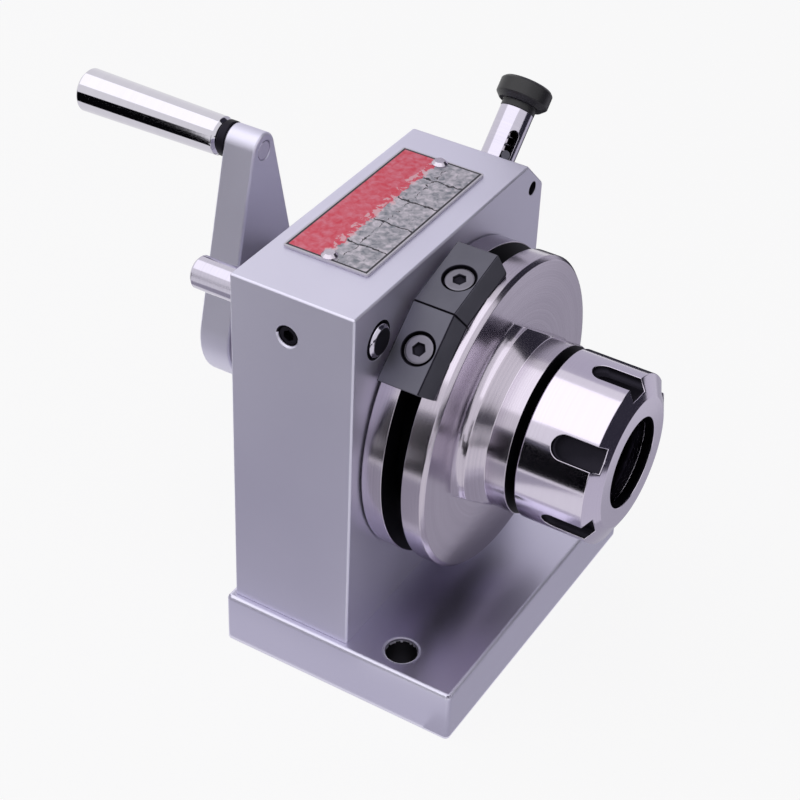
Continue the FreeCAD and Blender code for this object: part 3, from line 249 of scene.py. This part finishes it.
def soft_lamp(name, place, aim, width, height, power):
    """A rectangular soft box that faces a point."""
    lamp = bpy.data.lights.new(name, "AREA")
    lamp.shape = "RECTANGLE"
    lamp.size = width
    lamp.size_y = height
    lamp.energy = power
    box = bpy.data.objects.new(name, lamp)
    box.location = place
    box.rotation_euler = (Vector(aim) - Vector(place)).to_track_quat("-Z", "Y").to_euler()
    bpy.context.scene.collection.objects.link(box)
    return box


LAMP_HEIGHT = 1.15
LAMP_OVER = (-0.36, 0.35)
soft_lamp("overhead", (*LAMP_OVER, LAMP_HEIGHT), (*LAMP_OVER, 0.0), width=1.45, height=2.1, power=6.2)
print("lamp:", LAMP_HEIGHT, "m above the table")

# %% [markdown]
# The block, the base and the arm are satin aluminium: finely blasted and then clear anodised. Blasting
# leaves tiny dents, so the metal reflects only a blur, and the anodised skin gives it a cool lilac grey.

# %% Satin aluminium


def blasted_aluminium(name, smoothest, roughest):
    """Anodised aluminium after blasting, between two roughnesses."""
    metal, tree, place = new_material(name)
    # Cloudy patches, about 30 mm across, as the blasting nozzle leaves them
    clouds = add(tree, "TexNoise", {"Vector": place, "Scale": 1 / (30 * MM), "Detail": 3.0})
    tint = add(tree, "Mix", {FACTOR: clouds.outputs[0], TONE_A: linear("#d1cee0"), TONE_B: linear("#d9d6e7")},
               data_type="RGBA")
    # The dents are 0.05 mm wide; drawn 0.35 mm wide, they just show
    grain = add(tree, "TexNoise", {"Vector": place, "Scale": 1 / (0.35 * MM), "Detail": 2.0})
    dents = add(tree, "Bump", {"Height": grain.outputs[0], "Strength": 0.25, "Distance": 0.03 * MM})
    gloss = add(tree, "MapRange", {"Value": clouds.outputs[0], "To Min": smoothest, "To Max": roughest})
    wear(tree, add(tree, "BsdfPrincipled", {
        "Base Color": tint.outputs[MIXED], "Metallic": 1.0, "Roughness": gloss.outputs[0],
        "Normal": dents.outputs[0]}))
    return metal


satin_aluminium = blasted_aluminium("satin_anodised_aluminium", 0.44, 0.52)
# The base is ground after blasting, so that it lies flat: smoother, and darker where it faces dark things
ground_aluminium = blasted_aluminium("ground_anodised_aluminium", 0.28, 0.34)
print("made", satin_aluminium.name, "and", ground_aluminium.name)

# %% [markdown]
# The spindle is turned on a lathe. The tool leaves fine rings round the axis, and rings spread a highlight
# across themselves: on a flat face it opens into rays from the centre. The shader makes this with
# anisotropy, which needs the direction of the rings at every point.

# %% Turned steel
nut_middle = middle_of("collet_nut")
SPINDLE_AXIS = (nut_middle.x, 0.0, nut_middle.z)
ALONG_SPINDLE = (0.0, -1.0, 0.0)
QUARTER_TURN = 0.25  # turns the stretch of the highlight from along the rings to across them


def rings_round(tree, place, centre, along):
    """Gives the direction of the rings round an axis, and (radius, height) as a flat pattern place."""
    offset = add(tree, "VectorMath", {0: place, 1: centre}, operation="SUBTRACT").outputs[0]
    height = add(tree, "VectorMath", {0: offset, 1: along}, operation="DOT_PRODUCT").outputs["Value"]
    radial = add(tree, "VectorMath", {0: offset, 1: along}, operation="CROSS_PRODUCT").outputs[0]
    radius = add(tree, "VectorMath", {0: radial}, operation="LENGTH").outputs["Value"]
    world_radial = add(tree, "VectorTransform", {0: radial}, vector_type="VECTOR",
                       convert_from="OBJECT", convert_to="WORLD").outputs[0]
    direction = add(tree, "VectorMath", {0: world_radial}, operation="NORMALIZE").outputs[0]
    flat = add(tree, "CombineXYZ", {0: radius, 1: height}).outputs[0]
    return direction, flat


def turned_metal(name, centre, along, dark, light, roughness, stretch, ring_mm):
    """Lathe-turned metal. Rings of ring_mm are drawn as coarse as they need to show."""
    metal, tree, place = new_material(name)
    direction, flat = rings_round(tree, place, centre, along)
    rings = add(tree, "TexNoise", {"Vector": flat, "Scale": 1 / (ring_mm * MM), "Detail": 2.0,
                                   "Roughness": 0.6}, noise_dimensions="2D")
    tint = add(tree, "Mix", {FACTOR: rings.outputs[0], TONE_A: linear(dark), TONE_B: linear(light)},
               data_type="RGBA")
    groove = add(tree, "Bump", {"Height": rings.outputs[0], "Strength": 0.1, "Distance": 0.02 * MM})
    wear(tree, add(tree, "BsdfPrincipled", {
        "Base Color": tint.outputs[MIXED], "Metallic": 1.0, "Roughness": roughness, "Anisotropic": stretch,
        "Anisotropic Rotation": QUARTER_TURN, "Tangent": direction, "Normal": groove.outputs[0]}))
    return metal


turned_steel = turned_metal("turned_steel", SPINDLE_AXIS, ALONG_SPINDLE, "#b3abba", "#cdc5d2",
                            roughness=0.2, stretch=0.6, ring_mm=0.5)
ground_steel = turned_metal("ground_steel", SPINDLE_AXIS, ALONG_SPINDLE, "#cdc5d6", "#d3ccdc",
                            roughness=0.13, stretch=0.4, ring_mm=0.3)
print("spindle axis at", [round(value / MM, 1) for value in SPINDLE_AXIS], "mm")

# %% [markdown]
# The crank handle is polished and chromed. The stop rod, the plunger's sleeve and the handle's pin are
# ground bright, and are nearly as smooth.

# %% Bright round pieces
PLUNGER_AXIS = (math.sqrt(0.5), 0.0, math.sqrt(0.5))
chrome = turned_metal("polished_chrome", tuple(middle_of("crank_handle")), ALONG_SPINDLE, "#c9c6d0", "#cfccd6",
                      roughness=0.07, stretch=0.0, ring_mm=2.0)
bright_rod = turned_metal("ground_rod_steel", tuple(middle_of("stop_rod")), ALONG_SPINDLE, "#bdb8c8", "#c9c4d3",
                          roughness=0.14, stretch=0.2, ring_mm=0.6)
bright_sleeve = turned_metal("ground_sleeve_steel", tuple(middle_of("plunger_sleeve")), PLUNGER_AXIS,
                             "#bdb8c8", "#c9c4d3", roughness=0.13, stretch=0.2, ring_mm=0.6)
print("made", chrome.name + ",", bright_rod.name, "and", bright_sleeve.name)

# %% [markdown]
# The stop dogs and small hardened pieces are blackened: a thin oxide makes steel dark grey and satin.
# Where it has been handled the film is a little thinner, so its tone varies.

# %% Blackened steel, screw steel and bronze


def plain_metal(name, dark, light, roughness, cloud_mm, grain_mm, metallic=1.0):
    """Metal without a grain direction: clouds in its tone, and a fine tooth in its surface."""
    metal, tree, place = new_material(name)
    clouds = add(tree, "TexNoise", {"Vector": place, "Scale": 1 / (cloud_mm * MM), "Detail": 4.0})
    tint = add(tree, "Mix", {FACTOR: clouds.outputs[0], TONE_A: linear(dark), TONE_B: linear(light)},
               data_type="RGBA")
    grain = add(tree, "TexNoise", {"Vector": place, "Scale": 1 / (grain_mm * MM), "Detail": 2.0})
    tooth = add(tree, "Bump", {"Height": grain.outputs[0], "Strength": 0.2, "Distance": 0.02 * MM})
    smoothest, roughest = roughness - 0.04, roughness + 0.05
    gloss = add(tree, "MapRange", {"Value": clouds.outputs[0], "To Min": smoothest, "To Max": roughest})
    wear(tree, add(tree, "BsdfPrincipled", {
        "Base Color": tint.outputs[MIXED], "Metallic": metallic, "Roughness": gloss.outputs[0],
        "Normal": tooth.outputs[0]}))
    return metal


blackened_steel = plain_metal("blackened_steel", "#56555f", "#62616c", 0.4, 6.0, 0.4)
black_plastic = plain_metal("black_knob_plastic", "#16151a", "#1e1d23", 0.42, 8.0, 0.3, metallic=0.0)
screw_steel = plain_metal("zinc_screw_steel", "#69666f", "#7b7884", 0.34, 3.0, 0.25)
bearing_bronze = plain_metal("bearing_bronze", "#b58a4e", "#c79b5f", 0.3, 8.0, 0.4)
print("materials so far:", len(bpy.data.materials))

# %% [markdown]
# The nameplate is a thin aluminium sheet printed in red and silver: a border line, a red band along the
# back, and an empty table of ruled cells along the front. The print is worn. It is worked out by
# arithmetic on the place in millimetres, and two noises make its edges ragged and its ink patchy.

# %% Print of the plate, in millimetres from its middle
printed_plate, tree, place = new_material("printed_aluminium_plate")
plate_low, plate_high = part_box("nameplate")
half_length, half_width = [(high - low) / 2 / MM for high, low in zip(plate_high[:2], plate_low[:2])]
centred = add(tree, "VectorMath", {0: place, 1: tuple(middle_of("nameplate"))}, operation="SUBTRACT")
in_mm = add(tree, "VectorMath", {0: centred.outputs[0], "Scale": 1 / MM}, operation="SCALE").outputs[0]
across = add(tree, "SeparateXYZ", {0: in_mm})
ragged = add(tree, "TexNoise", {"Vector": in_mm, "Scale": 0.45, "Detail": 5.0})
fine = add(tree, "TexNoise", {"Vector": in_mm, "Scale": 0.55, "Detail": 3.0, "Distortion": 0.5})
plate = {"x": across.outputs[0], "y": across.outputs[1], "ragged": ragged.outputs[0], "fine": fine.outputs[0]}

RIM = 0.55  # bare metal along the cut edge
BORDER, BORDER_HALF = 0.85, 0.3  # the border line, from the edge
RED_FROM = 0.6  # where the red band begins
SCUFFED, SCUFFED_HALF = 1.3, 1.5  # the pale streaks beside it
CELLS_TO = 0.3  # where the ruled cells end
CELL_HALF, CELL_LINE_HALF = 6.5, 0.3
ROW, ROW_HALF = -3.4, 0.17  # the line along the cells
WOBBLE = 4.0  # how far the worn edges wander in all
WANDERS = 0.7  # the share of that by which the cell lines wander
STREAKED, FADED = 0.53, 0.5  # the noise above which the print is streaked, and the row line still there
SCUFF = 0.7  # how much of the ink a streak takes
# Each step: the name of its value, its operation, and its inputs as numbers or names of earlier values
STEPS = [
    ("from_middle_x", "ABSOLUTE", "x"),
    ("from_middle_y", "ABSOLUTE", "y"),
    ("from_end", "SUBTRACT", half_length, "from_middle_x"),
    ("from_side", "SUBTRACT", half_width, "from_middle_y"),
    ("from_edge", "MINIMUM", "from_end", "from_side"),
    ("border", "COMPARE", "from_edge", BORDER, BORDER_HALF),
    ("rim", "LESS_THAN", "from_edge", RIM),
    ("wobble", "MULTIPLY_ADD", "ragged", WOBBLE, -WOBBLE / 2),
    ("height", "ADD", "y", "wobble"),
    ("band", "GREATER_THAN", "height", RED_FROM),
    ("beside_band", "COMPARE", "height", SCUFFED, SCUFFED_HALF),
    ("streaks", "GREATER_THAN", "fine", STREAKED),
    ("torn", "MULTIPLY", "beside_band", "streaks"),
    ("scuff", "MULTIPLY", "torn", SCUFF),
    ("sideways", "MULTIPLY", "wobble", WANDERS),
    ("from_first_line", "ADD", "x", CELL_HALF),
    ("bent", "ADD", "from_first_line", "sideways"),
    ("from_line", "PINGPONG", "bent", CELL_HALF),
    ("in_front", "LESS_THAN", "height", CELLS_TO),
    ("upright_line", "LESS_THAN", "from_line", CELL_LINE_HALF),
    ("cell_line", "MULTIPLY", "upright_line", "in_front"),
    ("level_line", "COMPARE", "height", ROW, ROW_HALF),
    ("unworn", "GREATER_THAN", "fine", FADED),
    ("row_line", "MULTIPLY", "level_line", "unworn"),
    ("ruled", "ADD", "cell_line", "row_line"),
    ("bordered", "ADD", "border", "ruled"),
    ("any_line", "MINIMUM", "bordered", 1.0),
    ("inside_rim", "SUBTRACT", 1.0, "rim"),
    ("dark_line", "MULTIPLY", "any_line", "inside_rim"),
]
for name, operation, *values in STEPS:
    inputs = {number: plate.get(value, value) for number, value in enumerate(values)}
    plate[name] = add(tree, "Math", inputs, operation=operation).outputs[0]
print("plate:", round(2 * half_length, 1), "x", round(2 * half_width, 1), "mm, steps:", len(STEPS))

# %% [markdown]
# Ink lies on ink: each layer mixes its tone over the ones before it, where its part of the pattern is.

# %% Inks of the plate
plate["patchy"] = add(tree, "MapRange", {"Value": plate["fine"], "From Min": 0.3, "From Max": 0.7}).outputs[0]
# Each layer: its name, what decides where it lies, the tone below and the tone that it adds
LAYERS = [
    ("red", "patchy", "#dd3850", "#e37a8d"),
    ("silver", "patchy", "#7f838d", "#dcd4de"),
    ("ink", "band", "silver", "red"),
    ("scuffed", "scuff", "ink", "#e9c3cb"),
    ("rimmed", "rim", "scuffed", "#c9c5d0"),
    ("lined", "dark_line", "rimmed", "#2b2730"),
]
for name, where, *tones in LAYERS:
    below, above = [linear(tone) if tone.startswith("#") else plate[tone] for tone in tones]
    layer = add(tree, "Mix", {FACTOR: plate[where], TONE_A: below, TONE_B: above}, data_type="RGBA")
    plate[name] = layer.outputs[MIXED]
wear(tree, add(tree, "BsdfPrincipled", {"Base Color": plate["lined"], "Metallic": 0.35, "Roughness": 0.38}))
print("layers of ink:", len(LAYERS))

# %% [markdown]
# Slots, bores and counterbores look nearly black: little light finds its way in. So the walls inside them
# take a darker steel as painted shade, which also keeps their edges crisp.

# %% Painted shade: steel of the dark recesses
recess_steel = plain_metal("recess_steel_painted_shade", "#211f27", "#2d2b34", 0.5, 4.0, 0.4)
UP = Vector((0.0, 0.0, 1.0))
BACKWARD = Vector((0.0, 1.0, 0.0))
SIDEWAYS = Vector((1.0, 0.0, 0.0))
SAME_WAY, ACROSS = 0.9, 0.3  # cosines: two directions agree above the first, and cross below the second
BLOCK_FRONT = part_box("upright_block")[0].y


def mean(points):
    """The middle of some places."""
    return sum(points, Vector()) / len(points)


def outward_at(point):
    """The direction from the spindle axis to a point."""
    return Vector((point.x - SPINDLE_AXIS[0], 0.0, point.z - SPINDLE_AXIS[2])).normalized()


def radii_and_stations(points):
    """Distances from the spindle axis and stations in front of the block, in mm."""
    radii = [math.hypot(point.x - SPINDLE_AXIS[0], point.z - SPINDLE_AXIS[2]) / MM for point in points]
    return radii, [(BLOCK_FRONT - point.y) / MM for point in points]


def from_line(point, through, along):
    """Distance in mm from a line."""
    offset = point - through
    return (offset - along * offset.dot(along)).length / MM


print("front of the block at", round(BLOCK_FRONT / MM, 1), "mm")

# %% [markdown]
# Which faces lie in a recess, and so take the painted shade, is asked of each face of a piece: a test
# looks at its corners and at the direction that it faces. On the spindle and the nut the tests are radii from
# the axis and stations in front of the block, each a little outside the real size, so that rounding leaves no
# face out.

# %% Recesses of the spindle and the nut
DRUM_RADIUS = 46.6
SLOT_BACK, SLOT_FRONT = 4.4, 15.4
NECK_FROM = 32.8
BORE_RADIUS, BORE_TO = 16.6, -75.0
NUT_REAR_TO, NUT_SLOTS_FROM, NUT_BEHIND_FACE = 35.4, 43.3, 58.8
NUT_INSIDE_RADIUS = 20.2
NUT_SLOT_FROM, NUT_SLOT_FLOOR_TO = 21.1, 21.7


def spindle_recess(points, normal):
    """The T-slot, the neck behind the nut, and the taper and bore."""
    radii, stations = radii_and_stations(points)
    in_slot = min(stations) > SLOT_BACK and max(stations) < SLOT_FRONT and max(radii) < DRUM_RADIUS
    in_bore = max(radii) < BORE_RADIUS and max(stations) > BORE_TO
    return in_slot or in_bore or min(stations) > NECK_FROM


def nut_recess(points, normal):
    """The six spanner slots, the mouth and everything behind it, and the rear face."""
    radii, stations = radii_and_stations(points)
    turned_out = outward_at(mean(points)).dot(normal)
    beside_slot = min(radii) > NUT_SLOT_FROM and min(stations) > NUT_SLOTS_FROM
    slot_wall = beside_slot and abs(turned_out) < ACROSS
    slot_floor = beside_slot and max(radii) < NUT_SLOT_FLOOR_TO and turned_out > SAME_WAY
    inside = max(radii) < NUT_INSIDE_RADIUS and min(stations) < NUT_BEHIND_FACE
    return slot_wall or slot_floor or inside or max(stations) < NUT_REAR_TO


# %% [markdown]
# The other recesses lie round a line. Most are holes with a screw, a rod or a sleeve in them, and the line
# through that piece is the hole's axis: every face close enough to the line lies in the hole.

# %% Recesses round a line
CLAMP_HOLES = [Vector((side * 44.5 * MM, BLOCK_FRONT - 14.5 * MM, 0.0)) for side in (-1, 1)]
CLAMP_HOLE_RADIUS = 4.7
SOCKET_RADIUS, HEAD_CORE_RADIUS, COUNTERBORE_RADIUS = 2.2, 3.9, 4.72  # of the dogs' cap screws
SLEEVE_INSIDE_RADIUS = 4.9
DOGS_MEET, MEETING_HALF = 118.3, 1.2  # degrees from +X toward +Z
BLOCK_MOUTHS = [
    ("stop_rod", 6.0, BACKWARD),
    ("rod_brake_screw", 3.6, SIDEWAYS),
    ("sleeve_set_screw", 2.6, BACKWARD),
]


def hole_recess(node, radius_mm, along=None):
    """A test for the faces within radius_mm of the axis of a piece that stands in the hole."""
    middle = mean([vertex.co for vertex in frame["nodes"][node].data.vertices])
    along = along or outward_at(middle)
    return lambda points, normal: all(from_line(point, middle, along) < radius_mm for point in points)


def screw_recess(node):
    """A test for the socket of a cap screw and for the side of its head, which are drawn dark as painted shade.
    """
    in_socket = hole_recess(node, SOCKET_RADIUS)
    in_core = hole_recess(node, HEAD_CORE_RADIUS)

    def test(points, normal):
        return in_socket(points, normal) or not any(in_core([point], normal) for point in points)
    return test


def dog_recess(screw):
    """A test for the counterbore of a dog, and for the end where the two dogs meet, both drawn dark as painted
    shade.
    """
    in_counterbore = hole_recess(screw, COUNTERBORE_RADIUS)

    def test(points, normal):
        angles = [math.degrees(math.atan2(p.z - SPINDLE_AXIS[2], p.x - SPINDLE_AXIS[0])) for p in points]
        at_end = all(abs(angle - DOGS_MEET) < MEETING_HALF for angle in angles)
        return at_end or in_counterbore(points, normal)
    return test


def sleeve_recess(points, normal):
    """The slot in the plunger's sleeve, and the sleeve's inside."""
    middle = middle_of("plunger_sleeve")
    return min(from_line(point, middle, Vector(PLUNGER_AXIS)) for point in points) < SLEEVE_INSIDE_RADIUS


def block_recess(points, normal):
    """The mouth and bore of the stop rod, of its brake and of the sleeve's screw."""
    return any(hole_recess(*mouth)(points, normal) for mouth in BLOCK_MOUTHS)


def base_recess(points, normal):
    """The two clamping holes, which go straight down."""
    return any(all(from_line(point, hole, UP) < CLAMP_HOLE_RADIUS for point in points) for hole in CLAMP_HOLES)


def rod_recess(points, normal):
    """The front end of the stop rod, which stands inside its hole: its dark face is painted shade."""
    return normal.dot(BACKWARD) < -SAME_WAY


RECESS = {
    "base_plate": base_recess,
    "stop_rod": rod_recess,
    "spindle": spindle_recess,
    "collet_nut": nut_recess,
    "plunger_sleeve": sleeve_recess,
    "upright_block": block_recess,
    "stop_dog_a": dog_recess("stop_dog_a_screw"),
    "stop_dog_b": dog_recess("stop_dog_b_screw"),
    "stop_dog_a_screw": screw_recess("stop_dog_a_screw"),
    "stop_dog_b_screw": screw_recess("stop_dog_b_screw"),
}
print("pieces with dark recesses:", len(RECESS))

# %% [markdown]
# No machined edge is truly sharp: a file or a stone breaks it, and the narrow band that this leaves
# catches the light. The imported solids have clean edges, so each visible piece is shown as a dressed copy:
# its loose triangles are joined into faces, and every sharp edge gets a small round bevel.

# %% Dressed copies
bodies = {node: body for body, nodes in frame["record"]["behaviour"]["bodies"].items() for node in nodes}
slots = {part["node"]: part["material_slot"] for part in frame["record"]["subparts"]}
EDGE_MATERIAL = {"base_plate": satin_aluminium}
PLAIN, DARK, EDGE = 0, 1, 2  # the places of a copy's three materials
SHARP = math.radians(25)
FLAT = math.radians(0.4)
SAME_PLACE = 0.0005 * MM  # corners closer than this are one


def copy_of(node):
    """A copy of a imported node's mesh, with its loose triangles joined, to work on."""
    shape = bmesh.new()
    shape.from_mesh(frame["nodes"][node].data)
    bmesh.ops.remove_doubles(shape, verts=shape.verts, dist=SAME_PLACE)
    return shape


def show_instead(piece, node, body):
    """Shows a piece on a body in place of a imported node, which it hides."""
    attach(piece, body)
    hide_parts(node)


def dress(node, edge_mm, material):
    """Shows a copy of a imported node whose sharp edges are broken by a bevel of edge_mm."""
    shape = copy_of(node)
    bmesh.ops.dissolve_limit(shape, angle_limit=FLAT, verts=shape.verts, edges=shape.edges)
    in_recess = RECESS.get(node, lambda points, normal: False)
    for face in shape.faces:
        # A face in a recess takes the dark steel: painted shade
        is_dark = in_recess([vertex.co for vertex in face.verts], face.normal)
        face.material_index = DARK if is_dark else PLAIN
    sharp = [edge for edge in shape.edges if edge.is_manifold and edge.calc_face_angle(0.0) > SHARP
             and not all(face.material_index == DARK for face in edge.link_faces)]
    rounded = bmesh.ops.bevel(shape, geom=sharp, offset=edge_mm * MM, affect="EDGES", segments=2,
                              profile=0.5, material=-1, clamp_overlap=False)
    # An edge shines, except on the dogs and their screws, where it takes the painted shade of the dark gap
    # beside it
    darkest_or_lightest = max if node.startswith("stop_dog") else min
    for face in rounded["faces"]:
        neighbours = [other for edge in face.edges for other in edge.link_faces]
        face.material_index = darkest_or_lightest(other.material_index for other in neighbours)
        if node in EDGE_MATERIAL and face.material_index == PLAIN:
            face.material_index = EDGE
    for face in shape.faces:
        face.smooth = True
    print(node, "edges broken:", len(sharp), "faces:", len(shape.faces))
    piece = as_object(node + "_dressed", shape, material, recess_steel, EDGE_MATERIAL.get(node, material))
    shading = piece.modifiers.new("flat_faces_stay_flat", "WEIGHTED_NORMAL")
    shading.weight = 50
    show_instead(piece, node, bodies[node])


# Each dressed piece: its node, how wide its edges are broken in mm, and its material
EDGES = [
    ("base_plate", 0.5, ground_aluminium),
    ("upright_block", 0.18, satin_aluminium),
    ("crank_arm", 0.2, satin_aluminium),
    ("spindle", 0.2, turned_steel),
    ("collet_nut", 0.2, ground_steel),
    ("nut_slip_ring", 0.15, ground_steel),
    ("stop_dog_a", 0.25, blackened_steel),
    ("stop_dog_b", 0.25, blackened_steel),
    ("stop_dog_a_screw", 0.3, screw_steel),
    ("stop_dog_b_screw", 0.3, screw_steel),
    ("stop_rod", 0.15, bright_rod),
    ("plunger_sleeve", 0.1, bright_sleeve),
    ("plunger_knob", 0.2, black_plastic),
    ("crank_handle", 0.15, chrome),
    ("nameplate", 0.12, printed_plate),
    ("arm_spacer", 0.12, turned_steel),
    ("lock_nut", 0.2, blackened_steel),
    ("jam_nut", 0.2, blackened_steel),
    ("handle_washer", 0.1, recess_steel),
]
for node, edge_mm, material in EDGES:
    dress(node, edge_mm, material)

# %% [markdown]
# The plunger's spring stands between a shoulder in the sleeve and a collar on the pin. When the knob is
# pulled, the collar rises and the shoulder stays, so the spring gets shorter: its copy belongs to the
# stand.

# %% Plunger spring
wire = copy_of("plunger_spring")
for face in wire.faces:
    face.smooth = True
spring = as_object("plunger_spring_copy", wire, screw_steel)
show_instead(spring, "plunger_spring", "stand")
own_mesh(spring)

# %% [markdown]
# The pieces that are hidden, or too small to need a bevel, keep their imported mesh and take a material.

# %% Materials of the other nodes
MATERIAL_OF_SLOT = {
    "anodised_aluminium": satin_aluminium,
    "turned_steel": turned_steel,
    "ground_steel": ground_steel,
    "blackened_steel": blackened_steel,
    "screw_steel": screw_steel,
    "chromed_steel": chrome,
    "bearing_bronze": bearing_bronze,
    "printed_plate": printed_plate,
}
MATERIAL_OF_NODE = {
    # The set screws sit deep in their holes and take the dark recess steel as painted shade
    "rod_brake_screw": recess_steel,
    "sleeve_set_screw": recess_steel,
    "handle_pin": bright_rod,
}
for node, packed in frame["nodes"].items():
    packed.data.materials.clear()
    packed.data.materials.append(MATERIAL_OF_NODE.get(node, MATERIAL_OF_SLOT[slots[node]]))
print("nodes with a material:", len(frame["nodes"]))
